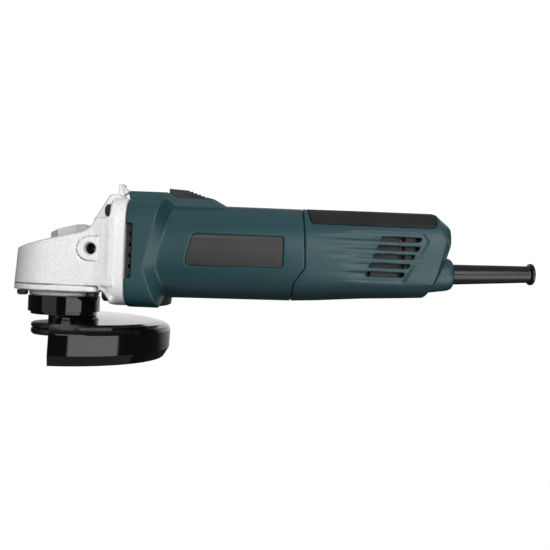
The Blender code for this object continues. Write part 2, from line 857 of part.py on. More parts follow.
def rear_shell_solid():
    """The whole rear grip before it is parted into its two halves."""
    seam = [(z, x + 0.4) for z, x in SEAM]
    rings = [
        section_ring(rear_section(220.0), 222.0, 2.6),
        section_ring(rear_section(190.0), 190.0, 2.6),
        section_ring(REAR_START, seam, 2.6),
        section_ring(REAR_START, seam),
        section_ring(REAR_MIDDLE, 190.0),
        section_ring(REAR_BEVEL, TAIL_BEVEL),
        section_ring(REAR_END, TAIL_END),
    ]
    return loft(rings)


def rear_cutters(side):
    """The slots, recess and cable passage of one half shell."""
    low, high = sorted((side * 15.0, side * 40.0))
    slots = [prism(vent_outline(k), "Y", low, high) for k in range(5)]
    recess = patch(pad_surface(side), (151.8, 231.3), 19.3, -3.0, 1.7, (6, 5))
    return collect(*slots), recess


def cable_passage():
    """The stepped bore that grips the strain relief boot."""
    profile = [(6.0, -30.0), (6.0, -9.0), (8.5, -9.0), (8.5, -3.4), (6.8, -3.4), (6.8, 20.0)]
    return tilted(turned(profile, 20, "X"))


def gland():
    profile = [(11.5, -14.0), (10.6, -5.0), (9.1, 2.4), (8.0, 4.8), (7.2, 7.2)]
    return tilted(turned(profile, 24, "X"))


SHELL_SCREWS = [(160.0, -20.0), (218.0, -15.5), (226.0, 14.0)]


def rear_housing(parent, materials):
    green, dark = materials["green_plastic"], materials["soft_grip"]
    for side, end in ((-1, "left"), (1, "right")):
        shell = add(f"rear_shell_{end}", rear_shell_solid(), green, parent)
        shape(shell, "UNION", gland())
        slots, recess = rear_cutters(side)
        shape(shell, "DIFFERENCE", cable_passage(), slots, recess)
        low, high = sorted((side * GAP / 2, side * 60.0))
        if side > 0:
            bores = []
            for x, z in SHELL_SCREWS:
                stepped = [(1.9, 7.8), (1.9, 20.0), (3.5, 20.0), (3.5, 40.0)]
                bores.append(turned(stepped, 10, "Y", centre=(x, z)))
            shape(shell, "DIFFERENCE", collect(*bores))
        shape(shell, "INTERSECT", box((100, 300), (low, high), (-60, 60)))
        field = pad_surface(side)
        pad = patch(field, (152.2, 230.9), 19.7, 0.0, 1.35, (6, 4))
        add(f"grip_pad_{end}", pad, dark, parent)
    boot_profile = [
        (4.0, -8.6),
        (8.1, -8.6),
        (8.1, -3.8),
        (6.3, -3.8),
        (5.3, 58.0),
        (6.8, 58.6),
        (6.8, 60.4),
        (4.0, 60.4),
    ]
    boot = tilted(turned(boot_profile, 20, "X", loop=True))
    add("cable_boot", boot, materials["rubber"], parent)


def rear_fittings(parent, materials):
    plastic = materials["black_plastic"]
    add("switch_module", box((178.0, 212.0), (-9.0, 9.0), (4.0, 24.2)), plastic, parent)
    can = turned([(6.0, 182.0), (6.0, 206.0)], 16, "X", centre=(0.0, -9.0))
    add("suppressor_capacitor", can, materials["label_blue"], parent)
    clamp = box((213.0, 219.5), (-7.5, 7.5), (-15.0, -11.5))
    add("cord_clamp", clamp, plastic, parent)


def shell_screws(parent, steel):
    outward = (-math.pi / 2, 0.0, 0.0)
    for number, (x, z) in enumerate(SHELL_SCREWS, 1):
        name = f"shell_screw_{number}"
        pan_screw(name, parent, steel, (x, 20.3, z), outward, (3.1, 2.4), (1.5, 12.0))


# ---------------------------------------------------------------------- guard


def wheel_guard(parent, black):
    profile = [
        (19.2, -40.8),
        (19.75, -40.8),
        (20.3, -41.9),
        (60.0, -43.2),
        (65.2, -43.6),
        (66.6, -44.4),
        (GUARD_RADIUS, -45.6),
        (GUARD_RADIUS, -58.4),
        (63.6, -64.5),
        (62.2, -63.6),
        (65.2, -58.0),
        (65.2, -47.0),
        (64.2, -45.9),
        (59.8, -45.3),
        (19.2, -43.9),
    ]
    steps = 20
    rings = []
    for i in range(steps + 1):
        angle = math.radians(GUARD_START + GUARD_SWEEP * i / steps)
        c, s = math.cos(angle), math.sin(angle)
        rings.append([(r * c, r * s, z) for r, z in profile])
    pivot = Matrix.Translation((0.0, 0.0, -43.0))
    lean = Matrix.Rotation(math.radians(GUARD_LEAN), 4, "Y")
    pressing = moved(loft(rings), pivot @ lean @ pivot.inverted())
    guard = add("wheel_guard", pressing, black, parent)
    sleeve = [(18.95, -41.6), (19.95, -41.6), (19.95, -30.8), (18.95, -30.8)]
    shape(guard, "UNION", turned(sleeve, 32, "Z", loop=True))


def guard_clamp(parent, black, steel):
    ring = [(20.25, -40.8), (21.6, -40.8), (21.6, -30.8), (20.25, -30.8)]
    band = add("guard_clamp_band", turned(ring, 32, "Z", loop=True), black, parent)
    lugs = collect(
        box((1.4, 5.4), (20.6, 31.0), (-40.6, -32.2)),
        box((-5.4, -1.4), (20.6, 31.0), (-40.6, -32.2)),
    )
    shape(band, "UNION", lugs)
    split = box((-1.5, 1.5), (18.0, 40.0), (-50.0, -30.0))
    hole = turned([(2.4, -20.0), (2.4, 20.0)], 12, "X", centre=(26.8, -36.4))
    shape(band, "DIFFERENCE", split, hole)
    side = (0.0, math.pi / 2, 0.0)
    at = (5.7, 26.8, -36.4)
    pan_screw("guard_clamp_screw", parent, steel, at, side, (3.7, 3.2), (2.0, 17.0))
    nut = [(2.4, -9.2), (4.3, -9.2), (4.3, -5.8), (2.4, -5.8)]
    item = turned(nut, 6, "X", loop=True, centre=(26.8, -36.4))
    add("guard_clamp_nut", item, steel, parent)


# -------------------------------------------------------- switch and spindle lock


def slider(parent, dark, plastic):
    """The thumb slider: a nose, then ridges stepping down to the rear."""
    side = [(66.6, 31.0), (66.6, 39.0), (78.8, 38.3)]
    x, z = 78.8, 38.3
    for _ in range(5):
        side.append((x + 1.1, z - 1.0))
        side.append((x + 1.8, z - 0.35))
        x, z = x + 2.4, z - 0.8
    side += [(x, z), (94.6, 33.5), (94.6, 31.0)]
    add("switch_slider", prism(side, "Y", -8.1, 8.1), dark, parent)
    outline = [(81.0, 25.0), (180.0, 25.0), (180.0, 26.2), (86.0, 26.2)]
    outline += [(86.0, 30.6), (82.0, 30.6), (82.0, 26.2), (81.0, 26.2)]
    add("slide_link", prism(outline, "Y", -2.6, 2.6), plastic, parent)


def button_solid():
    """An eight sided button whose top slopes up to the rear."""
    outline = octagon(11.0, 12.0, 5.7, 5.0, BUTTON_CENTRE)
    rings = [[(x, y, 4.0) for x, y in outline]]
    rings.append([(x, y, 10.7 + 0.26 * (x + 0.1)) for x, y in outline])
    inner = octagon(10.0, 11.0, 5.2, 4.6, BUTTON_CENTRE)
    rings.append([(x, y, 11.5 + 0.26 * (x + 0.1)) for x, y in inner])
    return loft(rings)


def coil_spring(radius, wire, low, high, turns, steps=9, sides=5):
    rings = []
    total = int(turns * steps)
    for i in range(total + 1):
        angle = 2 * math.pi * i / steps
        z = low + (high - low) * i / total
        ring = []
        for k in range(sides):
            a = 2 * math.pi * k / sides
            reach = radius + wire * math.cos(a)
            point = (reach * math.cos(angle), reach * math.sin(angle), z + wire * math.sin(a))
            ring.append(point)
        rings.append(ring)
    return loft(rings)


def spindle_lock(parent, metal, steel):
    button = add("lock_button", button_solid(), metal, parent)
    shape(button, "DIFFERENCE", turned([(5.2, 0.0), (5.2, 8.6)], 16, "Z", centre=BUTTON_CENTRE))
    at = (SPINDLE_X + LOCK_PIN[0], LOCK_PIN[1])
    pin = turned([(1.5, -5.6), (1.5, 3.7)], 10, "Z", centre=at)
    add("lock_pin", pin, steel, parent)
    coil = coil_spring(3.9, 0.5, 1.9, 7.7, 3.5)
    spring = moved(coil, Matrix.Translation((*BUTTON_CENTRE, 0.0)))
    add("lock_spring", spring, steel, parent, 60)


# ------------------------------------------------------------------- assembly


def make_materials():
    return {
        "cast_aluminium": make_material("cast_aluminium", (0.62, 0.63, 0.64), 0.42, 0.85),
        "green_plastic": make_material("green_plastic", (0.022, 0.058, 0.060), 0.45),
        "soft_grip": make_material("soft_grip", (0.030, 0.028, 0.028), 0.62),
        "dark_label": make_material("dark_label", (0.040, 0.036, 0.036), 0.55),
        "black_plastic": make_material("black_plastic", (0.015, 0.015, 0.016), 0.5),
        "gloss_black": make_material("gloss_black", (0.008, 0.008, 0.009), 0.12, 0.2),
        "black_steel": make_material("black_steel", (0.02, 0.02, 0.022), 0.35, 0.8),
        "steel": make_material("steel", (0.55, 0.55, 0.56), 0.3, 1.0),
        "lamination": make_material("lamination", (0.25, 0.25, 0.27), 0.5, 0.9),
        "copper": make_material("copper", (0.65, 0.25, 0.10), 0.35, 1.0),
        "brass": make_material("brass", (0.75, 0.55, 0.22), 0.35, 1.0),
        "carbon": make_material("carbon", (0.02, 0.02, 0.02), 0.7),
        "label_blue": make_material("label_blue", (0.03, 0.08, 0.25), 0.4),
        "rubber": make_material("rubber", (0.012, 0.012, 0.012), 0.5),
    }


def build():
    clear_scene()
    m = make_materials()
    crossing = (0.0, 0.0, MOTOR_HEIGHT)
    behind = (-SPINDLE_X, 0.0, MOTOR_HEIGHT)
    body = empty("housing_frame", behind)
    spindle_axis = empty("spindle_axis", crossing)
    armature_axis = empty("armature_axis", behind)
    guard_axis = empty("guard_axis", crossing)
    slide_path = empty("slide_path", behind)
    lock_path = empty("lock_path", behind)

    gear_case(body, m["cast_aluminium"])
    bearing_retainer(body, m["cast_aluminium"])
    head_screws(body, m["black_steel"])
    spindle = (SPINDLE_X, 0.0)
    ball_bearing("spindle_bearing", body, m["steel"], "Z", 6.5, 15.8, -37.0, -27.0, spindle)
    bush = [(4.8, -5.4), (7.0, -5.4), (7.0, -1.1), (4.8, -1.1)]
    ring = turned(bush, 20, "Z", loop=True, centre=spindle)
    add("spindle_bush", ring, m["brass"], body)
    ball_bearing("front_bearing", body, m["steel"], "X", 5.5, 14.0, 27.5, 35.5)
    ball_bearing("rear_bearing", body, m["steel"], "X", 4.0, 9.5, 157.0, 164.5)
    motor_housing(body, m["green_plastic"])
    badges(body, m["dark_label"])
    stator(body, m["lamination"], m["copper"])
    motor_fittings(body, m)
    rear_housing(body, m)
    rear_fittings(body, m)
    shell_screws(body, m["black_steel"])

    spindle_parts(spindle_axis, m["steel"], m["black_steel"])
    armature(armature_axis, m["lamination"], m["copper"], m["black_plastic"])
    wheel_guard(guard_axis, m["gloss_black"])
    guard_clamp(guard_axis, m["gloss_black"], m["black_steel"])
    slider(slide_path, m["soft_grip"], m["black_plastic"])
    spindle_lock(lock_path, m["cast_aluminium"], m["steel"])


build()
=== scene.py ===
import json
import math

import bmesh
import bpy
from mathutils import Matrix, Vector

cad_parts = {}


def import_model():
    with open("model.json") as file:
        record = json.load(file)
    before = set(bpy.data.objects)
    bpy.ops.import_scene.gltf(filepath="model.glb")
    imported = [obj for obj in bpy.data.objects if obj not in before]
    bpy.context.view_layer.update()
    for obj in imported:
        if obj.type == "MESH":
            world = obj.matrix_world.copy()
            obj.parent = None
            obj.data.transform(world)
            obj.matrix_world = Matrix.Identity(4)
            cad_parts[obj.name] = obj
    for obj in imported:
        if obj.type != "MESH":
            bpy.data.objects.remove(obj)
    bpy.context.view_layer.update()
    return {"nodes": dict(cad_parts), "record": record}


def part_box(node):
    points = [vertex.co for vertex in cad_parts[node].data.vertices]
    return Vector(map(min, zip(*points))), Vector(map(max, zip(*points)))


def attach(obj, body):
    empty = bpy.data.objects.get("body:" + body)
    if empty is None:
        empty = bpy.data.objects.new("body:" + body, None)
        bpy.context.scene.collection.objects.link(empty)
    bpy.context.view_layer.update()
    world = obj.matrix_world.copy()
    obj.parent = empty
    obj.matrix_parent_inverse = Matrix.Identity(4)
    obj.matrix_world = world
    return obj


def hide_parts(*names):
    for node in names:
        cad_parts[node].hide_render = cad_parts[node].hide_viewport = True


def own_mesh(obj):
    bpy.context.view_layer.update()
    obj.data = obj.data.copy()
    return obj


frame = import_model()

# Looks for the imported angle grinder. Shapes are modelled in millimetres and
# then moved to the frame. The spindle and the guard are measured from the point
# where the spindle and motor axes cross. All else is measured from a point of
# the motor axis that lies SPINDLE_X in front of that crossing.

shaft_low, shaft_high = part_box("armature_shaft")
MM = 0.001
SPINDLE_X = 1.4
MOTOR_HEIGHT = (shaft_low.z + shaft_high.z) / 2 / MM
SIDES = ((-1, "left"), (1, "right"))

scene = bpy.context.scene

# ---------------------------------------------------------------- mesh tools


def circle(radius, count, centre):
    points = []
    for i in range(count):
        angle = 2 * math.pi * i / count
        x = centre[0] + radius * math.cos(angle)
        points.append((x, centre[1] + radius * math.sin(angle)))
    return points


def place(axis, u, v, along):
    """A point of a 2-D outline, at a distance along one of the three axes."""
    if axis == "X":
        return Vector((along, u, v))
    if axis == "Y":
        return Vector((u, along, v))
    return Vector((u, v, along))


def loft(rings, loop=False):
    """A closed solid through rings of points: capped, or joined end to end."""
    mesh = bmesh.new()
    rows = [[mesh.verts.new(p) for p in ring] for ring in rings]
    count = len(rows[0])
    pairs = list(zip(rows, rows[1:]))
    if loop:
        pairs.append((rows[-1], rows[0]))
    else:
        mesh.faces.new(rows[0][::-1])
        mesh.faces.new(rows[-1])
    for low, high in pairs:
        for i in range(count):
            j = (i + 1) % count
            mesh.faces.new((low[i], low[j], high[j], high[i]))
    bmesh.ops.recalc_face_normals(mesh, faces=mesh.faces)
    return mesh


def prism(outline, axis, low, high):
    return loft([[place(axis, u, v, a) for u, v in outline] for a in (low, high)])


def box(x, y, z):
    outline = [(x[0], y[0]), (x[1], y[0]), (x[1], y[1]), (x[0], y[1])]
    return prism(outline, "Z", z[0], z[1])


def turned(profile, count, axis, loop=False, centre=(0.0, 0.0)):
    """A solid of revolution through (radius, distance along the axis) points."""
    rings = []
    for radius, along in profile:
        points = circle(radius, count, centre)
        rings.append([place(axis, u, v, along) for u, v in points])
    return loft(rings, loop)


def collect(*meshes):
    """Several shapes as one, to carve with in one go. They must not overlap."""
    total = bmesh.new()
    for mesh in meshes:
        copy = bpy.data.meshes.new("shape")
        mesh.to_mesh(copy)
        total.from_mesh(copy)
        bpy.data.meshes.remove(copy)
        mesh.free()
    return total


def moved(mesh, matrix):
    bmesh.ops.transform(mesh, matrix=matrix, verts=mesh.verts)
    return mesh


def fillet(points, radius, steps=4, closed=True):
    """A 2-D outline whose corners are rounded. radius: one, or one each."""
    count = len(points)
    radii = [radius] * count if isinstance(radius, (int, float)) else radius
    rounded = []
    for i, point in enumerate(points):
        here = Vector(point)
        ends = not closed and i in (0, count - 1)
        to_last = Vector(points[i - 1]) - here
        to_next = Vector(points[(i + 1) % count]) - here
        straight = abs(to_last.normalized().dot(to_next.normalized())) > 0.9999
        if ends or straight or radii[i] <= 0:
            rounded.append(tuple(here))
            continue
        half = to_last.angle(to_next) / 2
        cut = radii[i] / math.tan(half)
        cut = min(cut, to_last.length * 0.49, to_next.length * 0.49)
        a = here + to_last.normalized() * cut
        b = here + to_next.normalized() * cut
        for k in range(steps + 1):
            t = k / steps
            low, high = a.lerp(here, t), here.lerp(b, t)
            rounded.append(tuple(low.lerp(high, t)))
    return rounded


def solid(mesh):
    """An object made from a shape, still in millimetres."""
    data = bpy.data.meshes.new("work")
    mesh.to_mesh(data)
    mesh.free()
    item = bpy.data.objects.new("work", data)
    scene.collection.objects.link(item)
    return item


def bake(item):
    """Apply an object's modifiers to its mesh."""
    view = bpy.context.evaluated_depsgraph_get()
    made = bpy.data.meshes.new_from_object(item.evaluated_get(view))
    old = item.data
    item.modifiers.clear()
    item.data = made
    bpy.data.meshes.remove(old)


def taken(item):
    """An object's mesh, as a shape to carve with; the object is removed."""
    mesh = bmesh.new()
    mesh.from_mesh(item.data)
    bpy.data.objects.remove(item, do_unlink=True)
    return mesh


def carve(item, operation, *meshes):
    """Join helper shapes to an object, or cut them from it."""
    for mesh in meshes:
        tool = solid(mesh)
        modifier = item.modifiers.new("carve", "BOOLEAN")
        modifier.object = tool
        modifier.operation = operation
        modifier.solver = "EXACT"
        bake(item)
        bpy.data.objects.remove(tool, do_unlink=True)


def soften(item, voxel, rounds, keep=1.0):
    """Round every edge: a fine remesh, some smoothing, then fewer faces."""
    remesh = item.modifiers.new("remesh", "REMESH")
    remesh.mode = "VOXEL"
    remesh.voxel_size = voxel
    smooth = item.modifiers.new("smooth", "SMOOTH")
    smooth.factor = 0.5
    smooth.iterations = rounds
    if keep < 1.0:
        thin = item.modifiers.new("thin", "DECIMATE")
        thin.ratio = keep
    bake(item)


def bevel(item, width, segments=2, angle=40.0):
    edge = item.modifiers.new("bevel", "BEVEL")
    edge.width = width
    edge.segments = segments
    edge.limit_method = "ANGLE"
    edge.angle_limit = math.radians(angle)
    bake(item)


def settle(item, name, material, body, nodes=(), angle=None):
    """Move a finished piece to the frame and hang it on its body.

    angle: edges sharper than this many degrees stay sharp in the shading.
    """
    item.name = name
    start = 0.0 if body in ("spindle", "guard") else -SPINDLE_X
    shift = Matrix.Translation((start * MM, 0.0, MOTOR_HEIGHT * MM))
    item.data.transform(shift @ Matrix.Scale(MM, 4))
    item.data.materials.clear()
    item.data.materials.append(material)
    item.data.shade_smooth()
    if angle:
        item.data.set_sharp_from_angle(angle=math.radians(angle))
        weighted = item.modifiers.new("weighted", "WEIGHTED_NORMAL")
        weighted.keep_sharp = True
        bake(item)
    item.data.name = name
    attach(item, body)
    if nodes:
        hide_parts(*nodes)


def along_points(points, value):
    """Straight lines through (key, value) points, level beyond their ends."""
    pairs = sorted(points)
    if value <= pairs[0][0]:
        return pairs[0][1]
    for (k0, r0), (k1, r1) in zip(pairs, pairs[1:]):
        if value <= k1:
            return r0 + (r1 - r0) * (value - k0) / (k1 - k0)
    return pairs[-1][1]


def ramp(value, low, high):
    """0 below low, 1 above high, smooth between them."""
    t = min(1.0, max(0.0, (value - low) / (high - low)))
    return t * t * (3 - 2 * t)


# ---------------------------------------------------------------- materials


def tree_node(tree, kind, **sockets):
    node = tree.nodes.new(kind)
    for key, value in sockets.items():
        node.inputs[key.replace("_", " ")].default_value = value
    return node


def noise(tree, coordinates, scale, detail=3.0, roughness=0.6):
    node = tree_node(tree, "ShaderNodeTexNoise", Scale=scale, Detail=detail)
    node.inputs["Roughness"].default_value = roughness
    tree.links.new(coordinates, node.inputs["Vector"])
    return node.outputs["Fac"]


def mapped(tree, value, low, high, start, end):
    """The value taken from low..high to start..end, and held at the ends."""
    node = tree.nodes.new("ShaderNodeMapRange")
    for key, number in zip((1, 2, 3, 4), (low, high, start, end)):
        node.inputs[key].default_value = number
    tree.links.new(value, node.inputs[0])
    return node.outputs[0]


def blended(tree, factor, a, b):
    """A mix of two colours, each given as numbers or as another's output."""
    node = tree.nodes.new("ShaderNodeMix")
    node.data_type = "RGBA"
    tree.links.new(factor, node.inputs[0])
    for socket, value in ((node.inputs[6], a), (node.inputs[7], b)):
        if isinstance(value, tuple):
            socket.default_value = (*value, 1.0)
        else:
            tree.links.new(value, socket)
    return node.outputs[2]


SPECKLE_SHADE = 0.55  # a speckle's brightness, next to the colour round it


def finish_material(
    name,
    colour,
    other,
    roughness,
    metallic=0.0,
    patches=40.0,
    grain=(2200.0, 0.25, 0.0002),
    speckle=0.0,
    edge_wear_and_shade=None,
    crevice_shade=None,
    ior=1.5,
    spread=0.08,
):
    """A procedural finish: patches of two colours, grain, an edge colour, and painted shade in
    crevices.

    patches: the patches' noise scale. grain: its noise scale, strength and
    height in metres. The edge colour and the crevice colour: each a colour, the
    range of pointiness over which it fades, and its share on the sharpest edges or
    in the deepest corners. The edge colour is wear on most finishes and painted
    shade on the casting's rounded edges; the crevice colour is painted shade.
    spread: how far the patches vary the roughness.
    """
    material = bpy.data.materials.new(name)
    material.use_nodes = True
    tree = material.node_tree
    shader = tree.nodes["Principled BSDF"]
    shader.inputs["Metallic"].default_value = metallic
    shader.inputs["IOR"].default_value = ior
    place_at = tree.nodes.new("ShaderNodeTexCoord").outputs["Object"]
    broad = noise(tree, place_at, patches)
    fine = noise(tree, place_at, grain[0], 2.0, 0.5)
    tint = blended(tree, mapped(tree, broad, 0.35, 0.65, 0.0, 1.0), colour, other)
    if speckle:
        spots = mapped(tree, fine, 0.4, 0.65, 0.0, speckle)
        tint = blended(tree, spots, tint, tuple(SPECKLE_SHADE * c for c in colour))
    edge = tree.nodes.new("ShaderNodeNewGeometry").outputs["Pointiness"]
    # On the casting this edge colour is painted shade on the rounded edges; on the other
    # finishes it is wear.
    if edge_wear_and_shade:
        shown = mapped(tree, edge, edge_wear_and_shade[1], edge_wear_and_shade[2], 0.0, edge_wear_and_shade[3])
        tint = blended(tree, shown, tint, edge_wear_and_shade[0])
    # Darker in the deepest corners: painted shade in crevices.
    if crevice_shade:
        shown = mapped(tree, edge, crevice_shade[1], crevice_shade[2], crevice_shade[3], 0.0)
        tint = blended(tree, shown, tint, crevice_shade[0])
    tree.links.new(tint, shader.inputs["Base Color"])
    level = mapped(tree, broad, 0.3, 0.7, roughness - spread, roughness + spread)
    tree.links.new(level, shader.inputs["Roughness"])
    bump = tree_node(tree, "ShaderNodeBump", Strength=grain[1], Distance=grain[2])
    tree.links.new(fine, bump.inputs["Height"])
    tree.links.new(bump.outputs["Normal"], shader.inputs["Normal"])
    return material


# The casting's edge colour is dark: painted shade, which draws its rounded edges
# as dark lines. Its darker colour in crevices is painted shade as well.
SILVER = finish_material(
    "cast_silver", (0.92, 0.92, 0.92), (0.86, 0.86, 0.865), 0.50, metallic=0.20,
    ior=1.22, patches=60.0, grain=(1300.0, 0.55, 0.0003), speckle=0.30,
    edge_wear_and_shade=((0.28, 0.28, 0.28), 0.510, 0.540, 0.75),
    crevice_shade=((0.06, 0.06, 0.06), 0.42, 0.49, 0.95),
)
# Its darker colour in crevices is painted shade.
GREEN = finish_material(
    "teal_plastic", (0.0125, 0.0530, 0.0620), (0.0140, 0.0570, 0.0660), 0.38,
    patches=30.0, grain=(2600.0, 0.30, 0.00018), speckle=0.15,
    edge_wear_and_shade=((0.05, 0.11, 0.12), 0.53, 0.62, 0.45),
    crevice_shade=((0.004, 0.012, 0.012), 0.40, 0.48, 0.8),
)
# Its darker colour in crevices is painted shade.
GRIP = finish_material(
    "soft_grip_rubber", (0.0125, 0.0120, 0.0120), (0.0100, 0.0095, 0.0095), 0.58,
    patches=45.0, grain=(1800.0, 0.6, 0.0003), speckle=0.35,
    edge_wear_and_shade=((0.07, 0.068, 0.068), 0.53, 0.62, 0.4),
    crevice_shade=((0.008, 0.008, 0.008), 0.40, 0.48, 0.7),
)
# Its darker colour in crevices is painted shade.
BADGE = finish_material(
    "badge_film", (0.030, 0.029, 0.031), (0.026, 0.025, 0.027), 0.46,
    patches=50.0, grain=(1500.0, 0.5, 0.0003), speckle=0.4,
    edge_wear_and_shade=((0.09, 0.088, 0.09), 0.53, 0.62, 0.5),
    crevice_shade=((0.015, 0.015, 0.015), 0.4, 0.48, 0.6),
)
GLOSS = finish_material(
    "gloss_black_paint", (0.0018, 0.0018, 0.0020), (0.0028, 0.0028, 0.0028), 0.07,
    patches=25.0, grain=(260.0, 0.05, 0.0002), spread=0.02,
    edge_wear_and_shade=((0.05, 0.05, 0.05), 0.56, 0.66, 0.4),
)
FLANGE_BLACK = finish_material(
    "blackened_steel", (0.004, 0.004, 0.0045), (0.006, 0.006, 0.006), 0.42,
    patches=80.0, grain=(900.0, 0.12, 0.0002), spread=0.05,
    edge_wear_and_shade=((0.12, 0.12, 0.12), 0.55, 0.64, 0.5),
)
# Its darker colour in crevices is painted shade.
SCREW = finish_material(
    "black_screw", (0.015, 0.015, 0.016), (0.025, 0.025, 0.025), 0.34, metallic=0.3,
    patches=200.0, grain=(2500.0, 0.2, 0.0002),
    edge_wear_and_shade=((0.16, 0.16, 0.16), 0.55, 0.65, 0.5),
    crevice_shade=((0.003, 0.003, 0.003), 0.38, 0.47, 0.8),
)
RUBBER = finish_material(
    "boot_rubber", (0.004, 0.004, 0.004), (0.006, 0.006, 0.006), 0.22,
    patches=60.0, grain=(1600.0, 0.35, 0.0002), speckle=0.2, spread=0.05,
    edge_wear_and_shade=((0.05, 0.05, 0.05), 0.55, 0.65, 0.4),
)
STEEL = finish_material(
    "ground_steel", (0.55, 0.55, 0.56), (0.46, 0.46, 0.47), 0.28, metallic=1.0,
    patches=120.0, grain=(3000.0, 0.2, 0.0001), edge_wear_and_shade=((0.75, 0.75, 0.75), 0.53, 0.6, 0.5),
)
LAMINATION = finish_material(
    "lamination_steel", (0.22, 0.22, 0.24), (0.30, 0.29, 0.30), 0.45, metallic=0.9,
    patches=400.0, grain=(2500.0, 0.3, 0.0002),
)
COPPER = finish_material(
    "enamelled_copper", (0.55, 0.20, 0.07), (0.42, 0.14, 0.05), 0.32, metallic=0.9,
    patches=500.0, grain=(1400.0, 0.7, 0.0004),
)
BRASS = finish_material(
    "brass", (0.70, 0.50, 0.20), (0.60, 0.42, 0.16), 0.34, metallic=1.0,
    patches=150.0, grain=(2500.0, 0.2, 0.0002),
)
CARBON = finish_material(
    "carbon", (0.02, 0.02, 0.02), (0.03, 0.03, 0.03), 0.65, patches=300.0,
)
BLACK = finish_material(
    "black_plastic", (0.014, 0.014, 0.016), (0.020, 0.020, 0.022), 0.45,
    patches=60.0, grain=(2200.0, 0.3, 0.0002), edge_wear_and_shade=((0.05, 0.05, 0.05), 0.54, 0.64, 0.4),
)
DARK_THREAD = finish_material(
    "dark_thread", (0.010, 0.010, 0.010), (0.016, 0.016, 0.016), 0.40, metallic=0.5,
    patches=300.0,
)
INSIDE = finish_material(
    "inner_grey_plastic", (0.012, 0.014, 0.015), (0.009, 0.010, 0.011), 0.50,
    patches=80.0, grain=(2200.0, 0.3, 0.0002),
)
BLUE = finish_material(
    "capacitor_sleeve", (0.03, 0.08, 0.22), (0.025, 0.065, 0.19), 0.38, patches=90.0,
)
RED = finish_material(
    "red_terminal_plastic", (0.20, 0.012, 0.010), (0.26, 0.018, 0.014), 0.42, patches=90.0,
)

SLOT_FINISH = {
    "cast_aluminium": SILVER, "green_plastic": GREEN, "soft_grip": GRIP,
    "dark_label": BADGE, "black_plastic": BLACK, "gloss_black": GLOSS,
    "black_steel": FLANGE_BLACK, "steel": STEEL, "lamination": LAMINATION,
    "copper": COPPER, "brass": BRASS, "carbon": CARBON, "label_blue": BLUE,
    "rubber": RUBBER,
}

# ---------------------------------------------------------- housing sections

# Each section round the motor axis: half its width, its top and bottom heights,
# and the power of its outline (2 is an ellipse, more is squarer).
BLOCK = (33.0, 31.4, -35.0, 5.0)
FLANGE = (33.0, 31.0, -34.2, 5.0)
TUBE = (29.4, 29.95, -28.85, 2.15)
TUBE_END = (29.4, 30.0, -27.8, 2.15)
REAR_START = (29.2, 30.2, -27.8, 2.2)
REAR_MIDDLE = (27.8, 30.2, -24.7, 2.5)
REAR_BEVEL = (26.5, 30.0, -22.8, 2.9)
REAR_END = (18.0, 24.0, -17.0, 2.9)

# Where each ring lies along the tool, as (height, x) points.
CHEVRON_FRONT = [(-35.0, 65.5), (-10.5, 56.3), (31.0, 66.3)]
CHEVRON_REAR = [(-28.3, 69.1), (-10.7, 63.2), (25.8, 71.1)]
SEAM = [(-27.2, 144.0), (-17.0, 144.8), (-6.9, 151.3), (9.2, 150.6), (29.4, 149.4)]
TAIL_BEVEL = [
    (-22.0, 226.0), (-13.9, 228.2), (-8.8, 229.8), (11.9, 235.2), (18.4, 232.6), (30.0, 230.2),
]
TAIL_END = [(-17.0, 231.0), (1.6, 237.4), (10.4, 240.1), (19.4, 240.3), (24.0, 238.8)]
# The crease along each side: its height at each x, how far it stands out, and how
# far above and below it the side bends.
CREASE = [(66.0, -20.8), (145.0, -18.4), (190.0, -16.1), (211.0, -15.1), (226.6, -13.9)]
CREASE_RISE, CREASE_ABOVE, CREASE_BELOW = 0.75, 8.0, 6.0
RING_POINTS = 240
# The arrow under the step: half its width, and the heights below the motor axis
# between which it comes in.
ARROW_HALF, ARROW_START, ARROW_FULL = 22.0, 16.0, 26.0


def section_point(phi, section, offset=0.0, crease=None):
    """(y, z) of a section in the direction phi, moved inwards by offset."""
    half, top, bottom, power = section
    middle = (top + bottom) / 2
    width, height = half - offset, (top - bottom) / 2 - offset
    c, s = math.cos(phi), math.sin(phi)
    reach = (abs(c / width) ** power + abs(s / height) ** power) ** (-1 / power)
    y, z = reach * c, middle + reach * s
    if crease is not None and z < 0.0:
        bend = CREASE_ABOVE if z > crease else CREASE_BELOW
        reach_out = CREASE_RISE * max(0.0, 1 - abs(z - crease) / bend)
        scale = 1 + reach_out / math.hypot(y, z)
        y, z = y * scale, middle + (z - middle) * scale
    return y, z


def section_ring(section, x, offset=0.0, crease=False, under=0.0):
    """A ring round the motor axis. x is a number, or (z, x) points.

    under pulls the middle of the underside forwards, like an arrow.
    """
    ring = []
    for i in range(RING_POINTS):
        phi = 2 * math.pi * i / RING_POINTS
        level = None
        if crease:
            rough_x = x if isinstance(x, float) else along_points(x, -18.0)
            level = along_points(CREASE, rough_x)
        y, z = section_point(phi, section, offset, level)
        at = x if isinstance(x, float) else along_points(x, z)
        at -= under * max(0.0, ARROW_HALF - abs(y)) * ramp(-z, ARROW_START, ARROW_FULL)
        ring.append((at, y, z))
    return ring


def round_ring(radius, x, centre=0.0):
    return section_ring((radius, centre + radius, centre - radius, 2.0), x)


def rear_section(x):
    """The rear grip's section at x, between the three that are given."""
    keys = [(150.0, REAR_START), (190.0, REAR_MIDDLE), (228.0, REAR_BEVEL)]
    return tuple(along_points([(k, s[i]) for k, s in keys], x) for i in range(4))


# ------------------------------------------------------------------ gear head

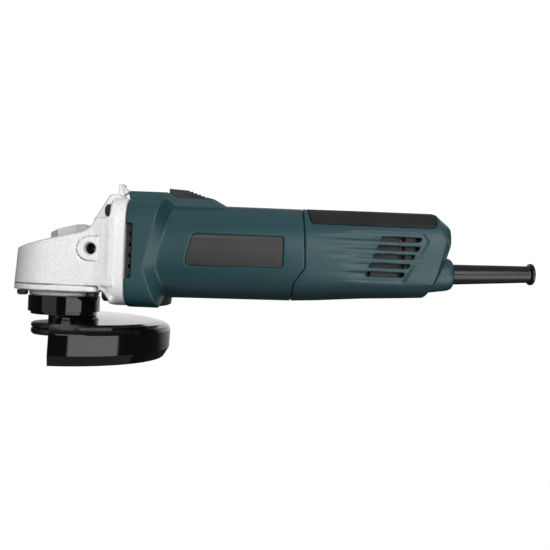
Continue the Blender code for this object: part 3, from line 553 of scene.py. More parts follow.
HEAD_HALF_WIDTH = 30.5
HEAD_BOTTOM = -22.8
FLANGE_FRONT = 36.3
FLANGE_REAR = 46.0
HANDLE_HOLE = (25.4, -0.9)  # (x, z), as is the boss round it
HANDLE_BOSS = (24.7, -0.9)
LOCK_PIN = (SPINDLE_X + 3.5, 9.8)
SPINDLE = (SPINDLE_X, 0.0)
BUTTON_CENTRE = (5.3, 0.0)
NECK_RADIUS = 18.6


def octagon(half_x, half_y, facet_x, facet_y, centre):
    """facet_x, facet_y: half the length of the sides along x, and along y."""
    x, y = centre
    return [
        (x + facet_x, y - half_y), (x + half_x, y - facet_y),
        (x + half_x, y + facet_y), (x + facet_x, y + half_y),
        (x - facet_x, y + half_y), (x - half_x, y + facet_y),
        (x - half_x, y - facet_y), (x - facet_x, y - half_y),
    ]


def button_outline(grow):
    """The lock button from above: its front facet sits off centre."""
    half_x, shift = 11.0 + grow, 1.5
    points = octagon(half_x, 12.0 + grow, 5.7 + grow / 2, 5.0 + grow / 2, BUTTON_CENTRE)
    end = half_x - 0.1
    return [(x - shift if abs(x - BUTTON_CENTRE[0]) > end else x, y) for x, y in points]


def head_plan(nose, rear_x, corner):
    """The head in plan: a round nose about the spindle, then parallel sides."""
    points, steps = [], 32
    for i in range(steps + 1):
        angle = math.radians(90 + 180 * i / steps)
        points.append((SPINDLE_X + nose * math.cos(angle), HEAD_HALF_WIDTH * math.sin(angle)))
    for side, start in ((-1, 270), (1, 0)):
        y = side * (HEAD_HALF_WIDTH - corner)
        for i in range(10):
            angle = math.radians(start + 10 * i)
            x = rear_x - corner + corner * math.cos(angle)
            points.append((x, y + corner * math.sin(angle)))
    return points


# Outlines from the side, as (x, z) points.
HEAD_SIDE = [
    (-34.0, HEAD_BOTTOM), (-34.0, -2.9), (-24.5, -1.3), (-17.9, -0.2), (-8.6, 2.1),
    (-0.7, 4.1), (16.9, 8.4), (20.7, 9.3), (23.2, 10.8), (25.6, 13.3), (28.0, 16.2),
    (29.8, 17.6), (39.0, 18.0), (39.0, -34.0), (37.8, -32.6), (36.9, -30.7),
    (34.4, -26.8), (31.0, -24.1), (31.0, -28.0), (-34.0, -28.0),
]
HEAD_RADII = [0, 0, 4, 8, 8, 8, 8, 4, 3, 3, 3, 2, 0, 0, 1, 3, 3, 1, 0, 0]
RIDGE_SIDE = [
    (19.0, 8.0), (20.8, 14.5), (23.2, 19.2), (31.0, 33.0), (32.8, 33.6), (39.0, 33.6),
    (39.0, 8.0),
]
TAB_SIDE = [(33.2, 28.0), (34.0, 41.3), (37.2, 41.3), (37.7, 28.0)]
LUG_SIDE = [(37.0, 35.4), (37.0, 38.8), (39.0, 38.6), (39.8, 36.6), (39.8, 35.4)]
# Screw places: (y, z), then (x, y), then (x, z).
FLANGE_SCREWS = [(y, z) for z in (22.2, -27.6) for y in (-24.0, 24.0)]
RETAINER_SCREWS = [(-18.1, -17.6), (-18.1, 17.6), (25.4, -24.0), (25.4, 24.0)]
SHELL_SCREWS = [(160.0, -20.0), (218.0, -15.5), (226.0, 14.0)]
CLAMP_BOLT = (26.8, -36.4)  # (y, z)


def boss_outline(radius, rear):
    """The handle boss from the side: round in front, straight to its rear."""
    x, z = HANDLE_BOSS
    points = [(rear, z + radius), (rear, z - radius)]
    for i in range(25):
        angle = math.radians(270 - 180 * i / 24)
        points.append((x + radius * math.cos(angle), z + radius * math.sin(angle)))
    return points


def side_prism(outline, side, near, far):
    """An (x, z) outline as a solid on one side of the tool, or the other."""
    low, high = sorted((side * near, side * far))
    return prism(outline, "Y", low, high)


def gear_case():
    """A die casting: its form is rounded first, then it is machined."""
    case = solid(prism(fillet(HEAD_SIDE, HEAD_RADII), "Y", -40.0, 40.0))
    rings = []
    for z, nose in ((-60.0, 32.3), (60.0, 23.6)):
        rings.append([(x, y, z) for x, y in head_plan(nose, 60.0, 3.0)])
    plan = loft(rings)
    bmesh.ops.triangulate(plan, faces=[f for f in plan.faces if len(f.verts) == 4])
    carve(case, "INTERSECT", plan)
    flange = loft([section_ring(FLANGE, x) for x in (FLANGE_FRONT, FLANGE_REAR + 3.0)])
    ridge = prism(RIDGE_SIDE, "Y", -14.0, 14.0)
    tab = prism(TAB_SIDE, "Y", -4.0, 4.0)
    lug = prism(LUG_SIDE, "Y", -3.0, 3.0)
    carve(case, "UNION", flange, ridge)
    for side, _ in SIDES:
        cheek = [(27.0, 29.8), (27.0, 30.3), (40.0, 33.3), (40.0, 20.0), (28.0, 20.0)]
        cheek = [(x, side * y) for x, y in cheek]
        carve(case, "UNION", prism(cheek, "Z", -22.4, 17.7))
    soften(case, voxel=0.8, rounds=4)
    keep = box((-60.0, FLANGE_REAR), (-60.0, 60.0), (-60.0, 60.0))
    carve(case, "INTERSECT", keep)
    carve(case, "DIFFERENCE", box((-60.0, 31.0), (-60.0, 60.0), (-60.0, HEAD_BOTTOM)))
    carve(case, "UNION", tab, lug)
    for side, _ in SIDES:
        rim = solid(side_prism(boss_outline(7.8, 31.5), side, HEAD_HALF_WIDTH - 0.7, 40.0))
        carve(rim, "DIFFERENCE", side_prism(boss_outline(6.9, 40.0), side, 20.0, 50.0))
        carve(case, "DIFFERENCE", taken(rim))
        raised = side_prism(boss_outline(6.9, 35.0), side, 28.0, HEAD_HALF_WIDTH + 0.6)
        carve(case, "UNION", raised)
    carve(
        case, "DIFFERENCE",
        turned([(22.7, -30.0), (22.7, -5.6), (19.5, -3.0)], 72, "Z", centre=SPINDLE),
        turned([(7.3, -10.0), (7.3, -0.8)], 32, "Z", centre=SPINDLE),
        turned([(7.3, 17.3), (9.6, 27.0), (9.6, 28.0)], 32, "X"),
        turned([(14.4, 27.2), (14.4, 37.0)], 48, "X"),
        turned([(24.0, 36.5), (24.0, 60.0)], 64, "X"),
        prism(button_outline(0.5), "Z", 1.0, 40.0),
    )
    holes = [turned([(1.9, -6.0), (1.9, 3.0)], 16, "Z", centre=LOCK_PIN)]
    for side, _ in SIDES:
        chamfer = [(3.4, 20.5), (3.4, 30.4), (4.2, 31.2), (4.2, 40.0)]
        cone = [(r, side * along) for r, along in chamfer]
        holes.append(turned(cone, 40, "Y", centre=HANDLE_HOLE))
    for at in RETAINER_SCREWS:
        holes.append(turned([(2.2, -30.0), (2.2, -15.0)], 16, "Z", centre=at))
    for at in FLANGE_SCREWS:
        stepped = [(4.6, 29.0), (4.6, 36.0), (2.4, 36.0), (2.4, 50.0)]
        if at[1] > 0:
            stepped = stepped[2:]
        holes.append(turned(stepped, 32, "X", centre=at))
    carve(case, "DIFFERENCE", collect(*holes))
    soften(case, voxel=0.5, rounds=1, keep=0.5)
    settle(case, "gear_case_casting", SILVER, "housing", ["gear_case"])


def thread_inserts():
    """The dark M8 threads inside the two side handle holes."""
    for side, end in SIDES:
        profile = [(3.38, 26.2), (3.38, 20.6), (0.4, 20.6), (0.4, 21.4), (2.9, 21.4)]
        along = 21.6
        while along < 25.4:
            profile += [(2.85, along), (3.25, along + 0.6)]
            along += 1.2
        profile = [(r, side * a) for r, a in profile]
        ring = solid(turned(profile, 48, "Y", loop=True, centre=HANDLE_HOLE))
        name = f"handle_thread_{end}"
        settle(ring, name, DARK_THREAD, "housing", (), 30)


def bearing_retainer():
    plan = head_plan(29.6, 30.5, 7.0)
    part = solid(prism(plan, "Z", -26.5, HEAD_BOTTOM - 0.12))
    neck = [
        (NECK_RADIUS, -41.5), (NECK_RADIUS, -30.9), (19.6, -30.0), (20.6, -30.0),
        (21.0, -29.4), (21.0, -27.4), (23.4, -26.6), (23.4, -25.0),
    ]
    carve(part, "UNION", turned(neck, 96, "Z", centre=SPINDLE))
    bore = [(11.0, -50.0), (11.0, -37.3), (16.2, -37.3), (16.2, -20.0)]
    holes = [turned(bore, 72, "Z", centre=SPINDLE)]
    for at in RETAINER_SCREWS:
        holes.append(turned([(2.4, -30.0), (2.4, -20.0)], 16, "Z", centre=at))
    carve(part, "DIFFERENCE", collect(*holes))
    soften(part, voxel=0.45, rounds=2, keep=0.5)
    name = "retainer_casting"
    settle(part, name, SILVER, "housing", ["bearing_retainer"])


def cross_screw(node, at, turn, body, head, shank, name=None):
    """A pan head screw with a cross recess. Its head points along local +Z.

    head, shank: a radius and a length each.
    """
    radius, height = head
    profile = fillet(
        [
            (shank[0], -shank[1]), (shank[0], 0.0), (radius, 0.0),
            (radius, height * 0.72), (radius * 0.7, height),
        ],
        [0, 0, 0.2, radius * 0.3, radius * 0.3], 5, closed=False,
    )
    screw = solid(turned(profile, 40, "Z"))
    arm, half_slot, depth = radius * 0.55, 0.5, height - 1.5
    carve(
        screw, "DIFFERENCE",
        box((-arm, arm), (-half_slot, half_slot), (depth, height + 1)),
        box((-half_slot, half_slot), (-arm, arm), (depth, height + 1)),
    )
    screw.data.transform(Matrix.Translation(Vector(at)) @ turn.to_4x4())
    settle(screw, name or f"{node}_detail", SCREW, body, [node], 32)


def screws():
    down = Matrix.Rotation(math.pi, 3, "X")
    forward = Matrix.Rotation(-math.pi / 2, 3, "Y")
    outward = Matrix.Rotation(-math.pi / 2, 3, "X")
    for number, (x, y) in enumerate(RETAINER_SCREWS, 1):
        node, at = f"retainer_screw_{number}", (x, y, -26.8)
        cross_screw(node, at, down, "housing", (3.2, 3.0), (1.8, 10.0))
    for number, (y, z) in enumerate(FLANGE_SCREWS, 1):
        node, at = f"flange_screw_{number}", (FLANGE_FRONT - 0.55, y, z)
        cross_screw(node, at, forward, "housing", (3.95, 3.5), (2.0, 24.0))
    for number, (x, z) in enumerate(SHELL_SCREWS, 1):
        node, at = f"shell_screw_{number}", (x, 20.3, z)
        cross_screw(node, at, outward, "housing", (3.1, 2.4), (1.5, 12.0))
    side = Matrix.Rotation(math.pi / 2, 3, "Y")
    at = (5.7, *CLAMP_BOLT)
    name = "clamp_screw_detail"
    cross_screw("guard_clamp_screw", at, side, "guard", (3.7, 3.2), (2.0, 17.0), name)


# -------------------------------------------------------------- motor housing


BADGE_TURN = (0.0, 0.55)  # (y, z) of the axis that the label field curves about
RECESS_RADIUS = 27.8
HUMP_HALF, HUMP_TOP = 12.8, 36.1


def badge_outline(x0, x1, z0, z1, radius):
    """The label field from the side: its front edge leans back as it rises."""
    points = [(x0, z0 - 0.6), (x1, z0), (x1, z1), (x0 + (z1 - z0) * 0.26, z1)]
    return fillet(points, [radius * 1.5, radius * 0.7, radius * 0.7, radius * 1.3], 6)


def switch_hump():
    """The raised rail that the slider runs in, from the flange rearwards."""
    stations = [
        (46.5, HUMP_TOP, 30.0), (64.2, HUMP_TOP, 30.0), (66.5, HUMP_TOP, 28.2),
        (71.5, 33.2, 28.2), (95.4, 32.8, 28.2), (102.6, 29.0, 28.2),
    ]
    rings = []
    for x, top, radius in stations:
        ring = [(x, HUMP_HALF, top), (x, -HUMP_HALF, top)]
        for i in range(25):
            y = -HUMP_HALF + 2 * HUMP_HALF * i / 24
            ring.append((x, y, math.sqrt(radius**2 - y**2)))
        rings.append(ring)
    return loft(rings)


def motor_housing():
    front = 46.3
    rings = [
        section_ring(BLOCK, front),
        section_ring(BLOCK, CHEVRON_FRONT, under=0.22),
        section_ring(TUBE, CHEVRON_REAR, crease=True, under=0.20),
        section_ring(TUBE_END, SEAM, crease=True),
        round_ring(26.6, SEAM, 0.4),
        round_ring(26.6, 64.0, 0.4),
        round_ring(28.5, 63.0),
        round_ring(28.5, front),
    ]
    housing = solid(loft(rings, loop=True))
    rail_front = box((42.9, 48.0), (-HUMP_HALF, HUMP_HALF), (31.5, HUMP_TOP))
    carve(housing, "UNION", switch_hump(), rail_front)
    channel = box((57.5, 95.5), (-8.5, 8.5), (30.6, 50.0))
    slot = box((73.0, 91.0), (-3.2, 3.2), (20.0, 31.0))
    notch = box((40.0, 50.2), (-14.0, 14.0), (-50.0, -34.2))
    carve(housing, "DIFFERENCE", channel, slot, notch)
    cuts = []
    outlet = [(40.0, -17.2), (50.2, -17.2), (50.2, 15.0), (40.0, 15.0)]
    inner = badge_outline(79.9, 138.3, -7.95, 10.75, 2.2)
    outer = badge_outline(78.6, 139.7, -9.3, 11.9, 2.8)
    for side, _ in SIDES:
        cuts.append(side_prism(fillet(outlet, [0, 1.5, 1.5, 0], 5), side, 26.0, 40.0))
    for at in FLANGE_SCREWS:
        cuts.append(turned([(2.3, 40.0), (2.3, 60.0)], 16, "X", centre=at))
    carve(housing, "DIFFERENCE", collect(*cuts))
    walls = []
    for side, _ in SIDES:
        rings = []
        for outline, y in ((inner, 10.0), (inner, 28.4), (outer, 30.4), (outer, 40.0)):
            rings.append([(x, side * y, z) for x, z in outline])
        walls.append(loft(rings))
    recess = solid(collect(*walls))
    core = [(RECESS_RADIUS, 70.0), (RECESS_RADIUS, 160.0)]
    carve(recess, "DIFFERENCE", turned(core, RING_POINTS, "X", centre=BADGE_TURN))
    carve(housing, "DIFFERENCE", taken(recess))
    soften(housing, voxel=0.52, rounds=1, keep=0.5)
    name = "motor_housing_moulding"
    settle(housing, name, GREEN, "housing", ["motor_housing"])


def badges():
    outline = badge_outline(80.3, 138.0, -7.6, 10.4, 2.1)
    ring = [(28.1, 75.0), (28.95, 75.0), (28.95, 145.0), (28.1, 145.0)]
    for side, end in SIDES:
        plate = solid(turned(ring, RING_POINTS, "X", loop=True, centre=BADGE_TURN))
        carve(plate, "INTERSECT", side_prism(outline, side, 10.0, 40.0))
        bevel(plate, 0.18)
        node = f"badge_{end}"
        settle(plate, f"{node}_plate", BADGE, "housing", [node], 30)


def outlet_grilles():
    """The ribbed inner frame seen through each side air outlet."""
    rib_count, first, pitch, rib = 5, -15.4, 6.3, 4.2
    for side, end in SIDES:
        grille = solid(box((46.6, 48.0), sorted((side * 28.8, side * 30.2)), (-17.0, 14.8)))
        ribs = []
        for k in range(rib_count):
            z = first + pitch * k
            ribs.append(box((47.4, 49.4), sorted((side * 28.7, side * 30.6)), (z, z + rib)))
        carve(grille, "UNION", collect(*ribs))
        bevel(grille, 0.2)
        settle(grille, f"outlet_grille_{end}", INSIDE, "housing", (), 30)


# --------------------------------------------------------------- rear housing

BOOT_TILT = math.radians(2.3)
BOOT_ROOT = (237.0, 0.0, -7.6)
SEAM_GAP = 0.4  # the gap between the motor housing and the rear grip
REAR_SEAM = [(z, x + SEAM_GAP) for z, x in SEAM]
SHELL_GAP = 0.3  # the gap between the two halves of the rear grip
PAD_DEPTH, PAD_RECESS = 1.35, 1.7


def tilted(mesh):
    """A shape about +X, moved to the tail and tilted as the boot is."""
    turn = Matrix.Rotation(-BOOT_TILT, 4, "Y")
    return moved(mesh, Matrix.Translation(BOOT_ROOT) @ turn)


# The air slots: each one's front and rear end and its lower edge.
VENT_LOWS = [
    (195.7, 220.5, 10.3), (193.7, 219.5, 4.9), (191.5, 216.7, -0.1),
    (189.7, 214.0, -5.7), (187.9, 211.1, -10.9),
]
# The rear edge of the field round the slots, as (height, x) points.
FIELD_RIGHT = [(-14.0, 209.0), (-11.3, 210.8), (11.1, 223.5), (15.7, 220.4)]


def vent_outline(number):
    x0, x1, z = VENT_LOWS[number]
    low, high = z + 0.3, z + 3.1
    points = [(x0 - 0.4, low), (x1 - 1.6, low), (x1 + 0.1, high), (x0 + 0.8, high)]
    return fillet(points, 0.2, 2)


def rear_loft(offset):
    """The rear grip's outer form, moved inwards by offset, without its wall."""
    rings = [section_ring(REAR_START, REAR_SEAM, offset, crease=True)]
    for x in (160.0, 170.0, 180.0, 190.0, 200.0, 210.0):
        rings.append(section_ring(rear_section(x), x, offset, crease=True))
    rings.append(section_ring(REAR_BEVEL, TAIL_BEVEL, offset, crease=True))
    rings.append(section_ring(REAR_END, TAIL_END, offset))
    return rings


def rear_solid():
    """The rear grip with its wall, before it is split in two."""
    wall = 2.6
    inner = [
        section_ring(rear_section(220.0), 222.0, wall),
        section_ring(rear_section(190.0), 190.0, wall),
        section_ring(REAR_START, REAR_SEAM, wall),
    ]
    return loft(inner + rear_loft(0.0))


def pad_outline(grow):
    """The grip pad's outline from the side, with rounded lower corners."""
    low = 19.7 - grow
    points = [
        (149.6 - grow, 40.0), (152.2 + (30.2 - low) * 0.25 - grow, low),
        (228.9 + grow, low), (231.2 + grow, 40.0),
    ]
    return fillet(points, [0, 2.2, 3.4, 0], 6)


FIELD_DEPTH, FLUTE_DEPTH = 0.75, 0.8
TOP_FLUTE, FLUTE_PITCH = 11.95, 5.3


def vent_depth(x, z):
    """How far the flutes and the field round the vents lie below the side."""
    end = along_points(FIELD_RIGHT, z)
    right = ramp(end + 1.4 - x, 0.0, 1.2)
    low, high = ramp(z, -14.4, -12.6), 1 - ramp(z, 14.8, 16.2)
    field = ramp(x, 172.0, 192.0) * FIELD_DEPTH
    k = (z - TOP_FLUTE) / FLUTE_PITCH
    flute = (0.5 + 0.5 * math.cos(2 * math.pi * k)) ** 1.6
    flute *= ramp(x, 152.0 + 3.0 * abs(k), 190.0) * FLUTE_DEPTH
    flute *= 1.0 - ramp(x, end - 16.0, end - 7.0)
    return right * low * high * (field + flute)


def press_vents(item):
    for vertex in item.data.vertices:
        x, y, z = vertex.co
        if abs(y) > 17.0 and 148.0 < x < 226.0:
            depth = vent_depth(x, z)
            vertex.co.y = y - math.copysign(depth, y)


def rear_shells():
    gland = [(11.6, -14.0), (11.4, -5.0), (10.7, 2.4), (10.3, 5.6), (9.6, 7.6), (8.2, 8.6)]
    passage = [(6.0, -30.0), (6.0, -9.0), (8.5, -9.0), (8.5, -3.4), (6.8, -3.4), (6.8, 20.0)]
    screw_bore = [(1.9, 7.8), (1.9, 20.0), (3.5, 20.0), (3.5, 40.0)]
    for side, end in SIDES:
        low, high = sorted((side * SHELL_GAP / 2, side * 60.0))
        shell = solid(rear_solid())
        carve(shell, "UNION", tilted(turned(gland, 72, "X")))
        slots = [side_prism(vent_outline(k), side, 15.0, 40.0) for k in range(len(VENT_LOWS))]
        carve(shell, "DIFFERENCE", tilted(turned(passage, 48, "X")), collect(*slots))
        recess = solid(side_prism(pad_outline(0.35), side, -3.0, 60.0))
        carve(recess, "DIFFERENCE", loft(rear_loft(PAD_RECESS)))
        carve(shell, "DIFFERENCE", taken(recess))
        if side > 0:
            bores = [turned(screw_bore, 32, "Y", centre=at) for at in SHELL_SCREWS]
            carve(shell, "DIFFERENCE", collect(*bores))
        carve(shell, "INTERSECT", box((100, 300), (low, high), (-60, 60)))
        soften(shell, voxel=0.5, rounds=2, keep=0.7)
        press_vents(shell)
        node = f"rear_shell_{end}"
        settle(shell, f"{node}_moulding", GREEN, "housing", [node])
        pad = solid(loft(rear_loft(0.0)))
        carve(pad, "INTERSECT", prism(pad_outline(0.0), "Y", low, high))
        carve(pad, "DIFFERENCE", loft(rear_loft(PAD_DEPTH)))
        soften(pad, voxel=0.42, rounds=2, keep=0.7)
        node = f"grip_pad_{end}"
        settle(pad, f"{node}_moulding", GRIP, "housing", [node])


def vent_baffles():
    """The ribbed air guides behind the vents, and a terminal beside them."""
    for side, end in SIDES:
        bars = []
        for low, high in ((190.8, 207.0), (211.0, 216.8)):
            bars.append(box((low, high), sorted((side * 19.2, side * 22.4)), (-11.8, 13.4)))
        plate = solid(box((188.0, 222.0), sorted((side * 17.2, side * 19.4)), (-12.4, 14.0)))
        carve(plate, "UNION", collect(*bars))
        bevel(plate, 0.3)
        settle(plate, f"vent_baffle_{end}", INSIDE, "housing", (), 30)
    block = solid(box((207.4, 208.8), (-22.0, -19.2), (4.4, 12.2)))
    bevel(block, 0.5, 3)
    settle(block, "terminal_cover", RED, "housing", (), 30)


def cable_boot():
    profile = [
        (4.0, -8.6), (8.1, -8.6), (8.1, -3.8), (6.7, -3.8), (5.3, 57.4),
        (6.8, 58.0), (6.8, 59.8), (4.0, 59.8),
    ]
    radii = [0.3, 0.5, 0.3, 0.2, 0.4, 0.5, 0.6, 0.4]
    boot = solid(tilted(turned(fillet(profile, radii, 5), 96, "X", loop=True)))
    settle(boot, "cable_boot_sleeve", RUBBER, "housing", ["cable_boot"], 40)


# ------------------------------------------------------------ guard and flanges


GUARD_START, GUARD_SWEEP, GUARD_LEAN = -77.2, 180.0, 1.8  # degrees
GUARD_PIVOT = -43.0


def wheel_guard():
    profile = [
        (19.2, -40.8), (19.75, -40.8), (20.3, -41.9), (57.0, -43.0), (62.8, -43.8),
        (66.0, -45.3), (67.0, -47.6), (67.0, -58.9), (63.6, -65.1), (62.2, -64.2),
        (65.2, -58.4), (65.2, -48.0), (64.0, -46.9), (58.8, -45.4), (19.2, -43.9),
    ]
    radii = [0, 0.2, 1.0, 4, 2.5, 1.4, 1.4, 0.7, 0.9, 0.6, 1.5, 1, 1, 3, 0.3]
    section = fillet(profile, radii, 6)
    steps = 150
    rings = []
    for i in range(steps + 1):
        angle = math.radians(GUARD_START + GUARD_SWEEP * i / steps)
        c, s = math.cos(angle), math.sin(angle)
        rings.append([(r * c, r * s, z) for r, z in section])
    pivot = Matrix.Translation((0.0, 0.0, GUARD_PIVOT))
    lean = Matrix.Rotation(math.radians(GUARD_LEAN), 4, "Y")
    guard = solid(moved(loft(rings), pivot @ lean @ pivot.inverted()))
    sleeve = fillet([(18.95, -41.6), (19.95, -41.6), (19.95, -30.4), (18.95, -30.4)], 0.25, 3)
    carve(guard, "UNION", turned(sleeve, 180, "Z", loop=True))
    settle(guard, "wheel_guard_pressing", GLOSS, "guard", ["wheel_guard"], 28)


def clamp_band():
    ring = fillet([(20.25, -39.9), (21.6, -39.9), (21.6, -30.1), (20.25, -30.1)], 0.3, 4)
    band = solid(turned(ring, 180, "Z", loop=True))
    lugs = []
    for x in ((1.4, 5.4), (-5.4, -1.4)):
        corners = [(20.6, -40.6), (31.0, -40.6), (31.0, -32.2), (20.6, -32.2)]
        lugs.append(prism(fillet(corners, [0, 2.5, 2.5, 0], 6), "X", x[0], x[1]))
    carve(band, "UNION", collect(*lugs))
    split = box((-1.5, 1.5), (18.0, 40.0), (-50.0, -30.0))
    hole = turned([(2.4, -20.0), (2.4, 20.0)], 32, "X", centre=CLAMP_BOLT)
    carve(band, "DIFFERENCE", split, hole)
    settle(band, "clamp_band_pressing", GLOSS, "guard", ["guard_clamp_band"], 28)
    profile = [(2.4, -9.2), (4.3, -9.2), (4.3, -5.8), (2.4, -5.8)]
    nut = solid(turned(profile, 6, "X", loop=True, centre=CLAMP_BOLT))
    bevel(nut, 0.25)
    settle(nut, "clamp_nut_hex", SCREW, "guard", ["guard_clamp_nut"], 30)


def flanges():
    flange = [
        (7.3, -49.9), (18.6, -49.9), (19.3, -49.2),
        (19.3, -47.6), (18.4, -46.8), (7.3, -46.8),
    ]
    disc = solid(turned(fillet(flange, 0.35, 3), 128, "Z", loop=True))
    name = "inner_flange_turning"
    settle(disc, name, FLANGE_BLACK, "spindle", ["inner_flange"], 30)
    nut = [
        (7.3, -54.2), (18.2, -54.2), (19.3, -53.0),
        (19.3, -50.9), (18.6, -50.2), (7.3, -50.2),
    ]
    clamp = solid(turned(fillet(nut, 0.35, 3), 128, "Z", loop=True))
    holes = []
    for x in (-15.0, 15.0):
        holes.append(turned([(2.3, -60.0), (2.3, -51.8)], 32, "Z", centre=(x, 0)))
    carve(clamp, "DIFFERENCE", collect(*holes))
    settle(clamp, "clamp_nut_turning", FLANGE_BLACK, "spindle", ["clamp_nut"], 30)


def threaded_spindle():
    """The spindle with its M14 thread below the flanges."""
    profile = [
        (4.4, -1.2), (4.4, -5.9), (6.0, -5.9), (6.0, -37.5),
        (9.0, -37.5), (9.0, -46.4), (6.9, -46.4),
    ]
    z, pitch = -46.8, 2.0
    while z > -60.4:
        profile += [(6.95, z), (6.2, z - pitch / 2)]
        z -= pitch
    profile += [(6.4, -60.9), (5.2, -62.0)]
    spindle = solid(turned(profile, 72, "Z"))
    settle(spindle, "spindle_turning", STEEL, "spindle", ["spindle"], 30)
    collar = fillet([(8.9, -46.6), (9.4, -46.6), (9.4, -41.2), (8.9, -41.2)], 0.15, 3)
    ring = solid(turned(collar, 72, "Z", loop=True))
    settle(ring, "spindle_dust_collar", FLANGE_BLACK, "spindle", (), 30)


# -------------------------------------------------------- slider and lock button


def slider():
    grooves, (x, z) = 5, (78.8, 38.3)
    side = [(66.6, 31.0), (66.6, 39.0), (x, z)]
    for _ in range(grooves):
        side.append((x + 1.1, z - 1.0))
        side.append((x + 1.8, z - 0.35))
        x, z = x + 2.4, z - 0.8
    side += [(x, z), (94.6, 33.5), (94.6, 31.0)]
    thumb = solid(prism(side, "Y", -8.1, 8.1))
    bevel(thumb, 0.22, angle=20)
    settle(thumb, "switch_slider_thumb", GRIP, "switch", ["switch_slider"], 40)


def lock_button():
    """The button's top slopes with the head, and has a chamfer round it."""
    slope = 0.26
    rings = [[(x, y, 4.0) for x, y in button_outline(0.0)]]
    for height, grow in ((10.7, 0.0), (11.5, -1.0)):
        rings.append([(x, y, height + slope * (x + 0.1)) for x, y in button_outline(grow)])
    button = solid(loft(rings))
    bevel(button, 0.3, 3, 20)
    spring_bore = [(5.2, 0.0), (5.2, 8.6)]
    carve(button, "DIFFERENCE", turned(spring_bore, 40, "Z", centre=BUTTON_CENTRE))
    settle(button, "lock_button_cap", SILVER, "lock", ["lock_button"], 30)


SPRING_LOW, SPRING_HIGH, SPRING_TURNS = 1.9, 7.7, 3.5
SPRING_RADIUS, SPRING_WIRE = 3.9, 0.5  # the wire's radius, not its width


def lock_spring():
    """The coil spring under the button."""
    steps, corners, rings = 28, 10, []
    total = int(SPRING_TURNS * steps)
    for i in range(total + 1):
        angle = 2 * math.pi * i / steps
        z = SPRING_LOW + (SPRING_HIGH - SPRING_LOW) * i / total
        ring = []
        for k in range(corners):
            a = 2 * math.pi * k / corners
            reach = SPRING_RADIUS + SPRING_WIRE * math.cos(a)
            x, y = reach * math.cos(angle), reach * math.sin(angle)
            ring.append((BUTTON_CENTRE[0] + x, y, z + SPRING_WIRE * math.sin(a)))
        rings.append(ring)
    coil = solid(loft(rings))
    settle(coil, "lock_spring_coil", STEEL, "lock", ["lock_spring"], 40)
    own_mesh(coil)


gear_case()
thread_inserts()
bearing_retainer()
screws()
motor_housing()
badges()
outlet_grilles()
rear_shells()
vent_baffles()
cable_boot()
wheel_guard()
clamp_band()
flanges()
threaded_spindle()
slider()
lock_button()
lock_spring()

# Every CAD part gets its material's finish. It shows where no piece replaces it.
for entry in frame["record"]["materials"]:
    for node in entry.get("nodes", []):
        target = frame["nodes"].get(node)
        if target is not None:
            target.data.materials.clear()
            target.data.materials.append(SLOT_FINISH[entry["slot"]])

# ------------------------------------------------------------------- the stage


def emission(name, colour, strength):
    material = bpy.data.materials.new(name)
    material.use_nodes = True
    tree = material.node_tree
    tree.nodes.clear()
    glow = tree_node(tree, "ShaderNodeEmission", Color=(*colour, 1.0), Strength=strength)
    output = tree.nodes.new("ShaderNodeOutputMaterial")
    tree.links.new(glow.outputs[0], output.inputs[0])
    return material


FLOOR_HALF, FLOOR_HEIGHT = 9.0, -0.0062


def floor():
    """A pale floor that only the camera sees, so it sends up no light."""
    mesh = bmesh.new()
    corners = []
    for u, v in ((-1, -1), (1, -1), (1, 1), (-1, 1)):
        corners.append(mesh.verts.new((u * FLOOR_HALF, v * FLOOR_HALF, FLOOR_HEIGHT)))
    mesh.faces.new(corners)
    item = solid(mesh)
    item.name = "floor"
    item.data.materials.append(emission("pale_floor", (1.0, 1.0, 1.0), 1.0))
    item.visible_glossy = False
    item.visible_diffuse = False
    item.visible_shadow = False


def panel(name, centre, target, size, radiance, glossy, diffuse):
    """A soft box, as bright as radiance says, facing the target."""
    light = bpy.data.lights.new(name, "AREA")
    light.shape = "RECTANGLE"
    light.size, light.size_y = size
    light.energy = radiance * math.pi * size[0] * size[1]
    item = bpy.data.objects.new(name, light)
    scene.collection.objects.link(item)
    item.location = centre
    away = Vector(centre) - Vector(target)
    item.rotation_euler = away.to_track_quat("Z", "Y").to_euler()
    item.visible_camera = False
    item.visible_glossy = glossy
    item.visible_diffuse = diffuse


def band(tree, value, low, high, soft):
    """1 between low and high, with soft edges."""
    up = mapped(tree, value, low - soft, low + soft, 0.0, 1.0)
    down = mapped(tree, value, high - soft, high + soft, 1.0, 0.0)
    return math_node(tree, "MULTIPLY", up, down)


def math_node(tree, operation, *values):
    node = tree.nodes.new("ShaderNodeMath")
    node.operation = operation
    for socket, value in zip(node.inputs, values):
        if isinstance(value, float):
            socket.default_value = value
        else:
            tree.links.new(value, socket)
    return node.outputs[0]


# How bright the world is all round, behind the tool and overhead.
WORLD_BASE, WORLD_BACK, WORLD_TOP = 0.04, 1.0, 0.28
# In degrees: the white wall's two ends and how soft they are, and the heights
# between which the light from overhead comes in.
WALL_SIDES, WALL_HEIGHTS, TOP_HEIGHTS = (-38.0, 38.0, 8.0), (-6.0, 26.0, 5.0), (26.0, 55.0)
TO_DEGREES = 57.2958


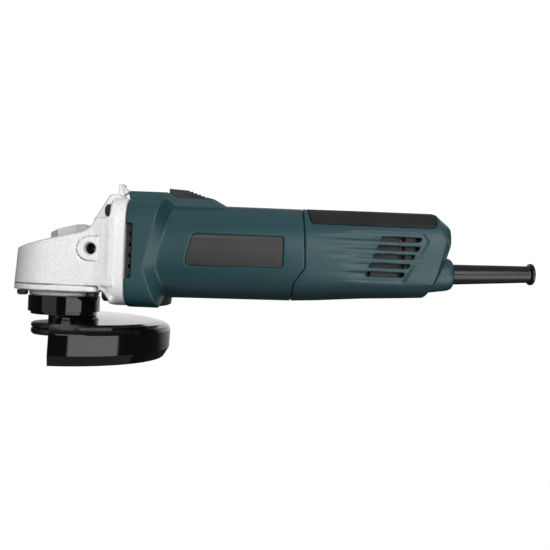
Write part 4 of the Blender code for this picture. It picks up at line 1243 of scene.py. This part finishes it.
def world():
    """A white wall behind the tool, some light overhead and dark below."""
    made = bpy.data.worlds.new("studio")
    scene.world = made
    made.use_nodes = True
    tree = made.node_tree
    tree.nodes.clear()
    direction = tree.nodes.new("ShaderNodeTexCoord").outputs["Generated"]
    split = tree.nodes.new("ShaderNodeSeparateXYZ")
    tree.links.new(direction, split.inputs[0])
    x, y, z = split.outputs
    height = math_node(tree, "MULTIPLY", math_node(tree, "ARCSINE", z), TO_DEGREES)
    behind = math_node(tree, "MULTIPLY", math_node(tree, "ARCTAN2", x, y), TO_DEGREES)
    across, up = band(tree, behind, *WALL_SIDES), band(tree, height, *WALL_HEIGHTS)
    wall = math_node(tree, "MULTIPLY", across, up)
    above = mapped(tree, height, *TOP_HEIGHTS, 0.0, WORLD_TOP)
    level = math_node(tree, "ADD", math_node(tree, "MULTIPLY", wall, WORLD_BACK), WORLD_BASE)
    level = math_node(tree, "ADD", level, above)
    path = tree.nodes.new("ShaderNodeLightPath")
    seen = math_node(tree, "MAXIMUM", path.outputs["Is Camera Ray"], level)
    background = tree_node(tree, "ShaderNodeBackground", Color=(1.0, 1.0, 1.0, 1.0))
    tree.links.new(seen, background.inputs["Strength"])
    output = tree.nodes.new("ShaderNodeOutputWorld")
    tree.links.new(background.outputs[0], output.inputs[0])


floor()
world()
# Each soft box: where it is, where it faces, its size and its brightness. The
# last word says whether it is kept out of the diffuse or the glossy light.
PANELS = [
    ("low_panel", (0.5005, -0.425, -0.24), (0.096, 0.018, -0.24), (0.605, 0.50), 2.6, "diffuse"),
    ("grey_panel", (-0.384, -0.665, 0.05), (0.0, 0.0, 0.05), (0.687, 0.62), 0.70, "diffuse"),
    ("soft_box", (0.50, -0.95, 0.42), (0.20, 0.0, 0.06), (0.55, 0.60), 3.3, ""),
    ("floor_bounce", (0.13, -0.10, -0.70), (0.13, 0.0, 0.0), (1.5, 0.9), 0.22, ""),
    ("front_fill", (0.30, -1.3, 0.50), (0.13, 0.0, 0.05), (1.6, 1.2), 3.05, "glossy"),
    ("top_fill", (0.13, 0.0, 1.2), (0.13, 0.0, 0.0), (1.2, 1.2), 0.20, "glossy"),
    ("rear_fill", (0.13, 1.3, 0.35), (0.13, 0.0, 0.05), (1.6, 1.2), 1.8, "glossy"),
]
for name, centre, target, size, radiance, hidden in PANELS:
    panel(name, centre, target, size, radiance, hidden != "glossy", hidden != "diffuse")

CAMERA_AT = (0.1327, -0.381, 0.050)
CAMERA_ROLL = math.radians(2.3)
lens = bpy.data.cameras.new("camera")
lens.sensor_width = 36.0
lens.lens = 39.3
lens.clip_start, lens.clip_end = 0.01, 50.0
camera = bpy.data.objects.new("camera", lens)
scene.collection.objects.link(camera)
level_view = Matrix.Rotation(math.radians(90.0), 4, "X")
roll = Matrix.Rotation(CAMERA_ROLL, 4, "Z")
camera.matrix_world = Matrix.Translation(CAMERA_AT) @ level_view @ roll
scene.camera = camera
scene.view_settings.view_transform = "Standard"
